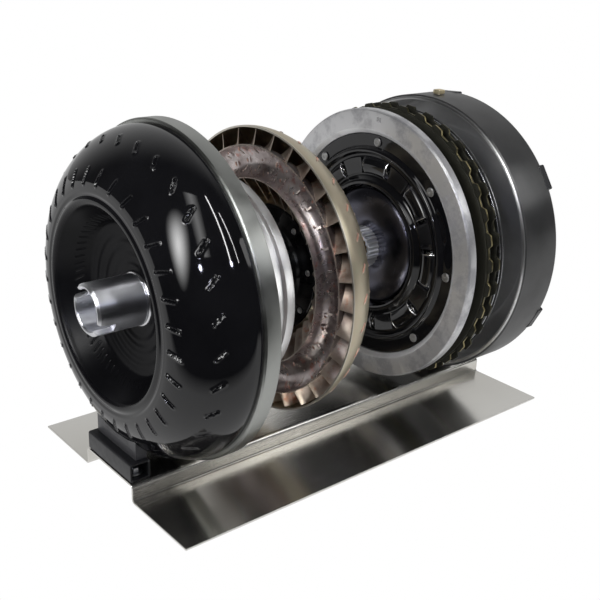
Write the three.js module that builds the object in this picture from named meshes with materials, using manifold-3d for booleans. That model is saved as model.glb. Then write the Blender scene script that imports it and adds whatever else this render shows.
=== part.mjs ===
// A torque converter taken apart along its shaft on a display stand: the pump (impeller), stator,
// turbine, damper, lock-up clutch and cover, each spaced out on one arbor.
// Units are millimetres. Y runs along the arbor, from the pump hub (-Y) to the cover (+Y); X is to the
// right and Z is up. The origin is on the ground, under the middle of the whole object.
import * as THREE from "three";
import { mergeVertices } from "three/addons/utils/BufferGeometryUtils.js";
import Module from "manifold-3d";

const wasm = await Module();
wasm.setup();

// ---- Driving dimensions -------------------------------------------------------------------------
const AXIS_HEIGHT = 172.5; // arbor centre line above the ground
const RING_STEPS = 36; // facets round a large ring
const BORE_STEPS = 24; // facets round a hub or race
const SLEEVE_STEPS = 16; // facets round the arbor and what slips on it
const GAP = 0.4; // clearance round what slides or slips
const SEAT = 0.3; // clearance under what bears on its neighbour

const BASE = { width: 252, front: -222.5, rear: 237.5, sheet: 2, channel: 83, height: 18 };
const TUBE = { front: -222, depth: 20, height: 18, wall: 2, length: 76 }; // lies across the channel
const CRADLE = { front: -214, rear: -203, width: 68, top: 62, clearance: 1 };
const UPRIGHT = { width: 38, front: 218, rear: 225, footRear: 237, foot: 6, top: 204 };
const BOLT = { shank: 3, hole: 3.5, head: 5.5, headHeight: 4, reach: 14 };
const BRACKET_BOLT = { x: 26, y: TUBE.front + TUBE.depth / 2 };
const FOOT_BOLTS = { xs: [-11, 11], y: (UPRIGHT.rear + UPRIGHT.footRear) / 2 };
const WASHER = { radius: 7.5, thickness: 1.4 };

const ARBOR = { radius: 12, front: -206, rear: 235, collarRadius: 18, collarFront: 214.9 };
const SLIP_RADIUS = 12.4; // bore of everything that slips on the arbor
const END_COLLAR = { radius: 17, front: -205.5, rear: -200.5 };
const ARBOR_NUT = { radius: 17, thickness: 7.7 };
const SPACER_RADIUS = 15;
const SPACERS = {
  spacer_pump: [-159.5, -126.5],
  spacer_stator: [-89.5, -53],
  spacer_turbine: [-15, 66],
  spacer_clutch: [113, 187.5],
};

const PUMP = { ringRadius: 152.4, ringBore: 145.8, ringFront: -165.5, ringRear: -150 };
const PUMP_SHELL = { radius: 148.5, apexRadius: 100, band: 5, depth: 57, wall: 3 };
const PUMP_DISH = { lipRadius: 89, lipFoot: 84, lipStep: 4, floorDepth: 23.2 }; // depths from the rim
const PUMP_HUB = { radius: 23, bore: 18.5, front: -237.5, rear: -166, flange: 45, web: 4, weld: 2 };
const HUB_NOTCH = { width: 10, depth: 16, angle: 35 };
const PUMP_BUSH = { radius: 17.8, front: -200, rear: -160 };
const VANE_COUNT = 31;
const VANE = { thickness: 1.2, clearance: 1, edge: 1.5, lean: 0.35 }; // lean in degrees per mm of depth
const EYE = { radius: 66, depth: 14, height: 12 }; // inner end of a vane
const CORE = { bore: 89.5, radius: 118, lip: -2, floor: 17 }; // core ring, wedge-shaped in section

const TURBINE = { radius: 136.5, rim: -59.5, apexRadius: 94, band: 2, depth: 48, wall: 1.8 };
const TURBINE_HUB = { plate: 61, front: -40.2, thickness: 3, radius: 26, bore: 17.5, nose: 6, tail: 20 };
const HUB_RIVET = { count: 8, radius: 3, pitch: 53, phase: 10, height: 1.4 };
const TURBINE_BUSH = { radius: 16.9, front: -45, rear: -17.5 };

const STATOR = { front: -126, rear: -91, rim: 97, rimBore: 88, hub: 62, hubBore: 46, blades: 13 };
const STATOR_CLUTCH = { camBore: 37.2, inset: 5, raceRadius: 27.2, raceFront: -123, raceRear: -93 };
const STATOR_BEARING = { bore: 29, radius: 44, inset: 0.6 };
const ROLLER = { count: 8, radius: 4, pitch: 32, front: -117, rear: -100 };
const CAGE = { halfWidth: 2.4, length: 3 };

const RIVETS = 8; // rivets and springs of the damper, both at the same spacing
const RIVET = { head: 4.6, shank: 2.6, pitch: 108.5, phase: 43 };
const SPRING = { length: 38, radius: 6.5, pitch: 83, station: 93, window: 44 };
const DAMPER_RING = { radius: 140.5, bore: 116, front: 82.5, rear: 93, bevel: 5 };
const DAMPER_PLATE = { front: 87.5, thickness: 2.5, bore: 64.5 };
const DRIVE_PLATE = { bore: 64, radius: 115, front: 100.3, rear: 103 };
const DAMPER_HUB = { bore: 17.3, neck: 24, dome: 61, front: 67, rimRear: 86, rear: 112 };
const DAMPER_BUSH = { radius: 16.7, front: 68.5, rear: 112 };

const TEETH = 36;
const DISC = { tip: 144, root: 140, bore: 112, front: 110.4, thickness: 2 };
const FACING = { radius: 139, bore: 114, thickness: 1.7 };
const SEPARATOR_FRONT = 121;
const PISTON = { radius: 137, front: 130.5, wall: 4, bore: 26, edge: 6 };
const SEAL = { section: 3, stand: 0.8, groove: 1.5 };

const COVER = { radius: 149, bore: 143.5, front: 155.5, rear: 206.5, floor: 199 };
const PILOT = { radius: 21, rear: 214.5, bore: 17.2 };
const LUG = { count: 6, width: 28, inner: 126, outer: 150.4, front: 198.5, rear: 209.5, phase: 34 };
const COVER_BUSH = { radius: 16.7, front: 192, rear: 214 };
const PLUG = { station: 175.5, side: 9, height: 4.6, neck: 3.6 };

// ---- Finishes -----------------------------------------------------------------------------------
function finish(color, roughness, metalness) {
  return new THREE.MeshStandardMaterial({ color, roughness, metalness });
}
const FINISH = {
  stainless: () => finish(0xb5aea2, 0.35, 1),
  paint: () => finish(0x141416, 0.12, 0.2),
  bracketPaint: () => finish(0x282a2e, 0.4, 0.2),
  zinc: () => finish(0xb8bcc0, 0.3, 1),
  steel: () => finish(0xa5a5a0, 0.3, 1),
  darkSteel: () => finish(0x3a3c48, 0.3, 1),
  castAluminium: () => finish(0xb4b4b0, 0.45, 1),
  tanSteel: () => finish(0xb9af96, 0.45, 0.6),
  copper: () => finish(0x8a4a34, 0.4, 1),
  graphite: () => finish(0x3c3c3c, 0.35, 0.9),
  friction: () => finish(0x23231c, 0.85, 0),
  brass: () => finish(0xaa9646, 0.3, 1),
  bronze: () => finish(0x9a6f3c, 0.4, 1),
  spring: () => finish(0x9a9ea6, 0.3, 1),
  rubber: () => finish(0x121212, 0.7, 0),
};

// ---- Shape helpers ------------------------------------------------------------------------------
const radians = THREE.MathUtils.degToRad;

function signedArea(points) {
  return points.reduce((sum, [x, y], i) => {
    const [nextX, nextY] = points[(i + 1) % points.length];
    return sum + (x * nextY - nextX * y) / 2;
  }, 0);
}

// A solid of revolution about the arbor line, from [radius, station] pairs. An outline that starts
// on the axis also ends on it; any other outline closes on itself.
function turned(outline, steps = RING_STEPS) {
  const ordered = signedArea(outline) > 0 ? outline : [...outline].reverse();
  const points = ordered.map(([radius, station]) => new THREE.Vector2(radius, station));
  if (ordered[0][0] > 0) points.push(points[0].clone());
  return new THREE.LatheGeometry(points, steps);
}

// A plain ring of rectangular section.
function ring(bore, radius, front, rear, steps = RING_STEPS) {
  return turned([[bore, front], [radius, front], [radius, rear], [bore, rear]], steps);
}

// The path moved sideways by a distance, to the left of its direction of travel.
function offsetPath(path, distance) {
  return path.map(([x, y], i) => {
    const [beforeX, beforeY] = path[Math.max(i - 1, 0)];
    const [afterX, afterY] = path[Math.min(i + 1, path.length - 1)];
    const run = new THREE.Vector2(afterX - beforeX, afterY - beforeY).normalize();
    return [x - run.y * distance, y + run.x * distance];
  });
}

// A pressing of even wall: the path out and its offset back.
function pressing(path, thickness) {
  return [...path, ...offsetPath(path, thickness).reverse()];
}

// The bulge of a torus shell, as [radius, depth]: a straight band at the rim, then a quarter of a
// soft ellipse from (radius, band) to (apexRadius, depth).
function bulge({ radius, apexRadius, band, depth }, steps) {
  const SOFTNESS = 1.2;
  const curve = Array.from({ length: steps }, (_, i) => {
    const angle = (i / steps) * (Math.PI / 2);
    const reach = (radius - apexRadius) * Math.cos(angle) ** SOFTNESS;
    return [apexRadius + reach, band + (depth - band) * Math.sin(angle) ** SOFTNESS];
  });
  return [[radius, 0], ...curve, [apexRadius, depth]];
}

function shapeOf(points) {
  return new THREE.Shape(points.map(([x, y]) => new THREE.Vector2(x, y)));
}

// Extrudes a shape drawn in X and Z along Y.
function along(shape, front, rear) {
  const geometry = new THREE.ExtrudeGeometry(shape, { depth: rear - front, bevelEnabled: false });
  return geometry.rotateX(Math.PI / 2).translate(0, rear, 0);
}

// Extrudes a shape drawn in Y and Z along X, centred on X = 0.
function across(shape, width) {
  const geometry = new THREE.ExtrudeGeometry(shape, { depth: width, bevelEnabled: false });
  const turn = new THREE.Matrix4().makeBasis(
    new THREE.Vector3(0, 1, 0),
    new THREE.Vector3(0, 0, 1),
    new THREE.Vector3(1, 0, 0),
  );
  return geometry.applyMatrix4(turn).translate(-width / 2, 0, 0);
}

function box(x, y, z, at = [0, 0, 0]) {
  return new THREE.BoxGeometry(x, y, z).translate(...at);
}

// A rod along Y between two stations.
function rod(radius, front, rear, steps = SLEEVE_STEPS) {
  const geometry = new THREE.CylinderGeometry(radius, radius, rear - front, steps);
  return geometry.translate(0, (front + rear) / 2, 0);
}

// A rod along Z between two heights.
function post(radius, low, high, x, y, steps = 12) {
  const geometry = new THREE.CylinderGeometry(radius, radius, high - low, steps);
  return geometry.rotateX(Math.PI / 2).translate(x, y, (low + high) / 2);
}

// The same geometry repeated evenly round the arbor line.
function roundTheAxis(count, phase, make) {
  return Array.from({ length: count }, (_, i) =>
    make(i).rotateY(radians(phase + (360 * i) / count)),
  );
}

// ---- Booleans -----------------------------------------------------------------------------------
function solidOf(geometry) {
  const bare = geometry.clone();
  bare.deleteAttribute("normal");
  bare.deleteAttribute("uv");
  const merged = mergeVertices(bare, 1e-4);
  const mesh = new wasm.Mesh({
    numProp: 3,
    vertProperties: merged.attributes.position.array,
    triVerts: new Uint32Array(merged.index.array),
  });
  return new wasm.Manifold(mesh);
}

function geometryOf(solid) {
  const mesh = solid.getMesh();
  const geometry = new THREE.BufferGeometry();
  geometry.setAttribute("position", new THREE.BufferAttribute(mesh.vertProperties, 3));
  geometry.setIndex(new THREE.BufferAttribute(mesh.triVerts, 1));
  geometry.computeVertexNormals();
  return geometry;
}

function joined(geometries) {
  return geometryOf(geometries.map(solidOf).reduce((sum, next) => sum.add(next)));
}

function cut(geometry, tools) {
  return geometryOf(tools.map(solidOf).reduce((left, tool) => left.subtract(tool), solidOf(geometry)));
}

// ---- Scene --------------------------------------------------------------------------------------
const converter = new THREE.Group();

function addTo(group, name, geometry, material) {
  const mesh = new THREE.Mesh(geometry, material);
  mesh.name = name;
  group.add(mesh);
}

function shaftGroup() {
  const group = new THREE.Group();
  group.position.z = AXIS_HEIGHT;
  converter.add(group);
  return group;
}

// ---- Stand --------------------------------------------------------------------------------------
// Tool that drills for a bolt, standing from one height to another.
function boltHole(x, y, low, high) {
  return post(BOLT.hole, low, high, x, y);
}

// Folded sheet: two flat wings and a raised channel down the middle, open at both ends.
function basePlate() {
  const { width, front, rear, sheet, channel, height } = BASE;
  const wing = width / 2;
  const web = channel / 2;
  const right = [
    [web - sheet, 0],
    [wing, 0],
    [wing, sheet],
    [web, sheet],
    [web, height],
  ];
  const left = right.map(([x, z]) => [-x, z]).reverse();
  const inside = [[-(web - sheet), height - sheet], [web - sheet, height - sheet]];
  const bolts = [[BRACKET_BOLT.x, BRACKET_BOLT.y], ...FOOT_BOLTS.xs.map((x) => [x, FOOT_BOLTS.y])];
  const holes = bolts.map(([x, y]) => boltHole(x, y, height - 2 * sheet, height + sheet));
  return cut(along(shapeOf([...right, ...left, ...inside]), front, rear), holes);
}

// Box tube laid across the channel; it carries the cradle.
function frontBracket() {
  const { front, depth, height, wall, length } = TUBE;
  const low = BASE.height + SEAT;
  const rectangle = (inset) => [
    [front + inset, low + inset],
    [front + depth - inset, low + inset],
    [front + depth - inset, low + height - inset],
    [front + inset, low + height - inset],
  ];
  const section = shapeOf(rectangle(0));
  section.holes.push(shapeOf(rectangle(wall)));
  const hole = boltHole(BRACKET_BOLT.x, BRACKET_BOLT.y, low - 1, low + wall + 1);
  return cut(across(section, length), [hole]);
}

// Hexagon-headed bolt standing on a seat, its shank pointing down.
function bolt(x, y, seat) {
  const { shank, head, headHeight, reach } = BOLT;
  const hexagon = post(head, seat, seat + headHeight, x, y, 6);
  return joined([hexagon, post(shank, seat - reach, seat + 1, x, y)]);
}

// Washer round a bolt, lying on a seat.
function washer(x, y, seat) {
  const { radius, thickness } = WASHER;
  const disc = post(radius, seat, seat + thickness, x, y, SLEEVE_STEPS);
  return cut(disc, [post(BOLT.shank + GAP, seat - 1, seat + thickness + 1, x, y)]);
}

// Block under the pump shell, its top hollowed to the shell with a running clearance.
function cradle() {
  const { front, rear, width, top, clearance } = CRADLE;
  const low = BASE.height + TUBE.height + 2 * SEAT;
  const block = box(width, rear - front, top - low, [0, (front + rear) / 2, (top + low) / 2]);
  const surface = offsetPath(pumpShellPath(), clearance);
  const outer = surface.filter(([radius]) => radius > PUMP_SHELL.apexRadius);
  const last = outer[outer.length - 1];
  const body = turned([[0, last[1]], ...outer.reverse(), [0, PUMP.ringRear]]);
  return cut(block, [body.translate(0, 0, AXIS_HEIGHT)]);
}

// Angle that holds the rear end of the arbor.
function rearUpright() {
  const { width, front, rear, footRear, foot, top } = UPRIGHT;
  const low = BASE.height + SEAT;
  const footTop = low + foot;
  const angle = shapeOf([
    [front, low],
    [footRear, low],
    [footRear, footTop],
    [rear, footTop],
    [rear, top],
    [front, top],
  ]);
  const holes = [
    rod(SLIP_RADIUS, front - 1, rear + 1).translate(0, 0, AXIS_HEIGHT),
    ...FOOT_BOLTS.xs.map((x) => boltHole(x, FOOT_BOLTS.y, low - 1, footTop + 1)),
  ];
  return cut(across(angle, width), holes);
}

// Fixed shaft with a collar that stands against the upright.
function arbor() {
  const { radius, front, rear, collarRadius, collarFront } = ARBOR;
  const collarRear = UPRIGHT.front - SEAT;
  const outline = [
    [0, front],
    [radius, front],
    [radius, collarFront],
    [collarRadius, collarFront],
    [collarRadius, collarRear],
    [radius, collarRear],
    [radius, rear],
    [0, rear],
  ];
  return turned(outline, SLEEVE_STEPS);
}

function arborNut() {
  const front = UPRIGHT.rear + SEAT;
  const rear = front + ARBOR_NUT.thickness;
  return cut(rod(ARBOR_NUT.radius, front, rear, 6), [rod(SLIP_RADIUS, front - 1, rear + 1)]);
}

// A sleeve that slips on the arbor.
function sleeve({ radius, front, rear }) {
  return ring(SLIP_RADIUS, radius, front, rear, SLEEVE_STEPS);
}

function buildStand() {
  addTo(converter, "base_plate", basePlate(), FINISH.stainless());
  addTo(converter, "front_bracket", frontBracket(), FINISH.bracketPaint());
  const { x, y } = BRACKET_BOLT;
  const washerSeat = BASE.height + TUBE.wall + 2 * SEAT;
  addTo(converter, "bracket_washer", washer(x, y, washerSeat), FINISH.zinc());
  addTo(converter, "bracket_bolt", bolt(x, y, washerSeat + WASHER.thickness + SEAT), FINISH.zinc());
  addTo(converter, "cradle", cradle(), FINISH.bracketPaint());
  addTo(converter, "rear_upright", rearUpright(), FINISH.bracketPaint());
  const footTop = BASE.height + UPRIGHT.foot + 2 * SEAT;
  const [left, right] = FOOT_BOLTS.xs;
  addTo(converter, "upright_bolt_left", bolt(left, FOOT_BOLTS.y, footTop), FINISH.zinc());
  addTo(converter, "upright_bolt_right", bolt(right, FOOT_BOLTS.y, footTop), FINISH.zinc());

  const shaft = shaftGroup();
  addTo(shaft, "arbor", arbor(), FINISH.steel());
  addTo(shaft, "arbor_nut", arborNut(), FINISH.zinc());
  addTo(shaft, "arbor_end_collar", sleeve(END_COLLAR), FINISH.zinc());
  for (const [name, [front, rear]] of Object.entries(SPACERS)) {
    addTo(shaft, name, sleeve({ radius: SPACER_RADIUS, front, rear }), FINISH.zinc());
  }
  const { raceRadius, raceFront, raceRear } = STATOR_CLUTCH;
  const race = sleeve({ radius: raceRadius, front: raceFront, rear: raceRear });
  addTo(shaft, "stator_inner_race", race, FINISH.steel());
}

// ---- Torus halves -------------------------------------------------------------------------------
// Both halves are drawn as [radius, depth], with depth growing from the open rim into the bowl.
const towardPump = (points) => points.map(([radius, depth]) => [radius, PUMP.ringRear - depth]);
const towardTurbine = (points) => points.map(([radius, depth]) => [radius, TURBINE.rim + depth]);

// Outside of the pump shell: the bulge, the creased lip and the dish down to the hub.
function pumpShellPath() {
  const { depth } = PUMP_SHELL;
  const { lipRadius, lipFoot, lipStep, floorDepth } = PUMP_DISH;
  const lip = [[lipRadius, depth + 1], [lipFoot, depth - lipStep]];
  const dish = [[74, 38], [60, 27], [PUMP_HUB.radius + GAP, floorDepth]];
  const start = PUMP.ringFront - SEAT;
  return [...bulge(PUMP_SHELL, 5), ...lip, ...dish].map(([r, d]) => [r, start - d]);
}

// Section of the core ring as [radius, depth], with its corners drawn in by a distance.
function coreSection(inset = 0) {
  const { bore, radius, lip, floor } = CORE;
  return [
    [bore + 2 * inset, lip + inset],
    [(bore + radius) / 2, floor - inset],
    [radius - 2 * inset, lip + inset],
  ];
}

// Vanes round a core ring, one body: each vane is a thin plate bent round the axis as it goes deeper.
function vaneSet(outerEdge, toStation, lean) {
  const outline = toStation([...outerEdge, ...coreSection(1)]);
  const shape = shapeOf(outline);
  const plate = new THREE.ExtrudeGeometry(shape, { depth: VANE.thickness, bevelEnabled: false });
  plate.translate(0, 0, -VANE.thickness / 2);
  const rim = outline[0][1];
  const position = plate.attributes.position;
  const point = new THREE.Vector3();
  for (let i = 0; i < position.count; i += 1) {
    point.fromBufferAttribute(position, i);
    point.applyAxisAngle(new THREE.Vector3(0, 1, 0), radians(lean * Math.abs(point.y - rim)));
    position.setXYZ(i, point.x, point.y, point.z);
  }
  const core = turned(toStation(coreSection()), VANE_COUNT);
  return joined([core, ...roundTheAxis(VANE_COUNT, 0, () => plate.clone())]);
}

// Edge of a vane inside its shell, from the rim round to the eye, as [radius, depth]. Few points are
// enough: the shell is hollow towards the vane, so the straight runs between them stay clear of it.
function vaneEdge(shell, throat) {
  const inset = shell.wall + VANE.clearance;
  const inside = { ...shell, radius: shell.radius - inset, depth: shell.depth - inset };
  const outer = bulge(inside, 2).slice(1).map(([radius, depth]) => [radius, depth + shell.set]);
  const eye = [[EYE.radius, EYE.depth + EYE.height], [EYE.radius, EYE.depth]];
  return [[inside.radius, VANE.edge], ...outer, throat, ...eye];
}

// ---- Pump (impeller) ----------------------------------------------------------------------------
function pumpHub() {
  const { radius, bore, front, rear, flange, web, weld } = PUMP_HUB;
  const back = PUMP.ringFront - SEAT - PUMP_DISH.floorDepth + PUMP_SHELL.wall + GAP;
  const outline = [
    [bore, front],
    [radius, front],
    [radius, back],
    [flange, back + 1],
    [flange, back + 1 + web],
    [radius + 3, back + 1 + web + weld],
    [radius + 3, rear],
    [bore, rear],
  ];
  const { width, depth, angle } = HUB_NOTCH;
  const notch = box(4 * radius, 2 * depth, width, [0, front, 0]).rotateY(radians(angle));
  return cut(turned(outline, BORE_STEPS), [notch]);
}

function buildPump() {
  const group = shaftGroup();
  const path = pumpShellPath();
  addTo(group, "impeller_shell", turned(pressing(path, -PUMP_SHELL.wall)), FINISH.paint());
  const { ringBore, ringRadius, ringFront, ringRear } = PUMP;
  const weldRing = [
    [ringBore, ringFront],
    [ringRadius - 1, ringFront],
    [ringRadius, ringFront + 1],
    [ringRadius, ringRear],
    [ringBore, ringRear],
  ];
  addTo(group, "impeller_ring", turned(weldRing), FINISH.steel());
  addTo(group, "impeller_hub", pumpHub(), FINISH.zinc());
  const set = PUMP.ringRear - PUMP.ringFront;
  const throat = [PUMP_DISH.lipFoot, 58];
  const edge = vaneEdge({ ...PUMP_SHELL, set }, throat);
  addTo(group, "impeller_vanes", vaneSet(edge, towardPump, VANE.lean), FINISH.copper());
  addTo(group, "impeller_bush", sleeve(PUMP_BUSH), FINISH.bronze());
}

// ---- Stator -------------------------------------------------------------------------------------
// Cast wheel: a machined rim in three steps, twisted blades and the hub that holds the roller clutch.
function statorWheel() {
  const { front, rear, rim, rimBore, hub, hubBore, blades } = STATOR;
  const step = { width: 9, height: 3 };
  const outside = [
    [rim - step.height, front],
    [rim - step.height, rear - step.width - 1],
    [rim, rear - step.width],
    [rim, rear],
  ];
  const rimRing = turned([...outside, [rimBore, rear], [rimBore, front]]);
  const hubRing = ring(hubBore, hub, front + 3, rear - 3, BORE_STEPS);
  const aerofoil = shapeOf([[-4, -14], [1, -14], [6, -3], [-7, 14], [0, -3]]);
  const middle = (front + rear) / 2;
  const root = 2; // how far a blade runs into the rim and the hub
  const blade = () => {
    const depth = rimBore - hub + 2 * root;
    const geometry = new THREE.ExtrudeGeometry(aerofoil, { depth, bevelEnabled: false });
    return geometry.translate(0, middle, hub - root);
  };
  return joined([rimRing, hubRing, ...roundTheAxis(blades, 0, blade)]);
}

// Rollers of the one-way clutch, held between the two rings of their cage.
function rollerCage() {
  const { count, radius, pitch, front, rear } = ROLLER;
  const { halfWidth, length } = CAGE;
  const cage = (start) => ring(pitch - halfWidth, pitch + halfWidth, start, start + length, BORE_STEPS);
  const rings = [cage(front + 1 - length), cage(rear - 1)];
  const roller = () => rod(radius, front, rear, 8).translate(0, 0, pitch);
  return joined([...rings, ...roundTheAxis(count, 0, roller)]);
}

function buildStator() {
  const group = shaftGroup();
  const { camBore, inset } = STATOR_CLUTCH;
  const front = STATOR.front + inset;
  const rear = STATOR.rear - inset;
  const cam = ring(camBore, STATOR.hubBore - GAP, front, rear, BORE_STEPS);
  addTo(group, "stator_wheel", statorWheel(), FINISH.castAluminium());
  addTo(group, "stator_cam", cam, FINISH.steel());
  addTo(group, "stator_rollers", rollerCage(), FINISH.steel());
  const bearing = (from, to) => ring(STATOR_BEARING.bore, STATOR_BEARING.radius, from, to, BORE_STEPS);
  const frontBearing = bearing(STATOR.front + STATOR_BEARING.inset, front - GAP);
  const rearBearing = bearing(rear + GAP, STATOR.rear - STATOR_BEARING.inset);
  addTo(group, "stator_front_bearing", frontBearing, FINISH.zinc());
  addTo(group, "stator_rear_bearing", rearBearing, FINISH.zinc());
}

// ---- Turbine ------------------------------------------------------------------------------------
function turbineShellPath() {
  const { depth } = TURBINE;
  const outer = bulge(TURBINE, 4);
  const seat = TURBINE_HUB.front + TURBINE_HUB.thickness + 2.3 - TURBINE.rim;
  const inner = [[78, depth - 4], [65, depth - 15], [60, seat], [50, seat]];
  return towardTurbine([...outer, ...inner]);
}

// Splined hub with its riveted plate.
function turbineHub() {
  const { plate, front, thickness, radius, bore, nose, tail } = TURBINE_HUB;
  const back = front + thickness;
  const outline = [
    [bore, front - nose],
    [radius, front - nose],
    [radius + 3, front],
    [plate, front],
    [plate, back - 1],
    [46, back],
    [radius + 4, back + 6],
    [radius, back + tail],
    [bore, back + tail],
  ];
  const { count, radius: head, pitch, phase, height } = HUB_RIVET;
  const rivet = () => rod(head, front - height, front + 1, 6).translate(0, 0, pitch);
  return joined([turned(outline, BORE_STEPS), ...roundTheAxis(count, phase, rivet)]);
}

function buildTurbine() {
  const group = shaftGroup();
  const shell = turned(pressing(turbineShellPath(), TURBINE.wall));
  addTo(group, "turbine_shell", shell, FINISH.tanSteel());
  const throat = [79, 40];
  const edge = vaneEdge({ ...TURBINE, set: 0 }, throat);
  addTo(group, "turbine_vanes", vaneSet(edge, towardTurbine, -VANE.lean), FINISH.copper());
  addTo(group, "turbine_hub", turbineHub(), FINISH.paint());
  addTo(group, "turbine_bush", sleeve(TURBINE_BUSH), FINISH.bronze());
}

// ---- Damper -------------------------------------------------------------------------------------
function damperRing() {
  const { radius, bore, front, rear, bevel } = DAMPER_RING;
  return turned([
    [bore, front + bevel - 1],
    [bore + bevel, front],
    [radius - 2, front],
    [radius, front + 2],
    [radius, rear],
    [bore, rear],
  ]);
}

// Where the rivets and springs sit, counted from the top of the damper.
const rivetPhase = 90 - RIVET.phase;

// Black stamping with a raised bead, spring windows and rivet holes.
function damperPlate() {
  const { front, thickness, bore } = DAMPER_PLATE;
  const bead = { radius: 99.5, foot: 4, height: 4 };
  const path = [
    [DAMPER_RING.bore - 2 * GAP, front],
    [bead.radius + bead.foot - 0.2, front],
    [bead.radius, front - bead.height],
    [bead.radius - bead.foot - 0.5, front + 0.5],
    [bore + 8.5, front + 0.5],
    [bore + 4.5, front - 5],
    [bore, front - 5],
  ];
  const { window, radius, pitch } = SPRING;
  const windowTool = () => box(window, 20, 2 * radius + 2.5, [0, front, pitch]);
  const holeTool = () => rod(RIVET.shank + GAP, front - 8, front + 8, 6).translate(0, 0, RIVET.pitch);
  const windows = roundTheAxis(RIVETS, rivetPhase, windowTool);
  const holes = roundTheAxis(RIVETS, rivetPhase, holeTool);
  return cut(turned(pressing(path, -thickness)), [...windows, ...holes]);
}

// Coil spring of the damper, as the plain rod that it fills.
function damperSpring() {
  const { radius, length, station, pitch } = SPRING;
  const geometry = new THREE.CylinderGeometry(radius, radius, length, 10);
  return geometry.rotateZ(Math.PI / 2).translate(0, station, pitch);
}

// Rivet through the stamping, its head at the front.
function damperRivet() {
  const { front } = DAMPER_PLATE;
  const head = rod(RIVET.head, front - 2, front - GAP, 10);
  const shank = rod(RIVET.shank, front - 1, DRIVE_PLATE.front - GAP, 6);
  return joined([head, shank]).translate(0, 0, RIVET.pitch);
}

function buildDamper() {
  const group = shaftGroup();
  const { bore, radius, front, rear } = DRIVE_PLATE;
  addTo(group, "damper_ring", damperRing(), FINISH.steel());
  addTo(group, "damper_plate", damperPlate(), FINISH.paint());
  addTo(group, "damper_drive_plate", ring(bore, radius, front, rear), FINISH.darkSteel());
  roundTheAxis(RIVETS, rivetPhase, damperSpring).forEach((geometry, i) =>
    addTo(group, `damper_spring_${i + 1}`, geometry, FINISH.spring()),
  );
  roundTheAxis(RIVETS, rivetPhase, damperRivet).forEach((geometry, i) =>
    addTo(group, `damper_rivet_${i + 1}`, geometry, FINISH.zinc()),
  );
}

// Domed output hub, splined to the same shaft as the turbine.
function damperHub() {
  const { bore, neck, dome, front, rimRear, rear } = DAMPER_HUB;
  const face = [[bore, front + 1], [20, front], [neck, front + 2], [33, front + 3], [47, front + 4.5]];
  const lip = [[dome, front + 13], [dome, rimRear], [dome - 3, rimRear]];
  const rim = [[57, front + 8.5], ...lip, [56, front + 13]];
  const back = [[46, front + 8], [30, front + 7], [neck, front + 11], [neck, rear], [bore, rear]];
  return turned([...face, ...rim, ...back], BORE_STEPS);
}

function buildDamperHub() {
  const group = shaftGroup();
  addTo(group, "damper_hub", damperHub(), FINISH.darkSteel());
  addTo(group, "damper_hub_bush", sleeve(DAMPER_BUSH), FINISH.bronze());
}

// ---- Lock-up clutch -----------------------------------------------------------------------------
// Flat plate with driving teeth round its outside.
function toothedPlate(front, thickness) {
  const { tip, root, bore } = DISC;
  const pitch = (2 * Math.PI) / TEETH;
  const outline = [];
  for (let i = 0; i < TEETH; i += 1) {
    const start = i * pitch;
    const corners = [[root, 0.18], [tip, 0.3], [tip, 0.7], [root, 0.82]];
    corners.forEach(([radius, share]) => {
      const angle = start + share * pitch;
      outline.push([radius * Math.cos(angle), radius * Math.sin(angle)]);
    });
  }
  const plate = shapeOf(outline);
  const hole = new THREE.Path().absarc(0, 0, bore, 0, 2 * Math.PI, true);
  plate.holes.push(shapeOf(hole.getPoints(RING_STEPS).slice(0, -1).map(({ x, y }) => [x, y])));
  return along(plate, front, front + thickness);
}

function buildDiscs() {
  const discGroup = shaftGroup();
  const { front, thickness } = DISC;
  const rear = front + thickness;
  const facing = (start) => ring(FACING.bore, FACING.radius, start, start + FACING.thickness);
  addTo(discGroup, "friction_disc", toothedPlate(front, thickness), FINISH.brass());
  addTo(discGroup, "front_facing", facing(front - SEAT - FACING.thickness), FINISH.friction());
  addTo(discGroup, "rear_facing", facing(rear + SEAT), FINISH.friction());
  const plateGroup = shaftGroup();
  addTo(plateGroup, "separator_plate", toothedPlate(SEPARATOR_FRONT, thickness), FINISH.darkSteel());
}

// Dished piston with a seal groove in its outer edge.
function clutchPiston() {
  const { radius, front, wall, bore, edge } = PISTON;
  const grooveRadius = radius - SEAL.section - 0.5;
  const rear = front + edge;
  return turned([
    [bore, front + wall],
    [108, front + wall],
    [114, front],
    [radius, front],
    [radius, front + SEAL.groove],
    [grooveRadius, front + SEAL.groove],
    [grooveRadius, rear - SEAL.groove],
    [radius, rear - SEAL.groove],
    [radius, rear],
    [118, rear],
    [110, front + 2 * wall],
    [bore, front + 2 * wall],
  ]);
}

function buildPiston() {
  const group = shaftGroup();
  const { radius, front, edge } = PISTON;
  const side = SEAL.groove + GAP;
  const seal = ring(radius - SEAL.section, radius + SEAL.stand, front + side, front + edge - side);
  addTo(group, "clutch_piston", clutchPiston(), FINISH.steel());
  addTo(group, "piston_seal", seal, FINISH.rubber());
}

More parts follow.
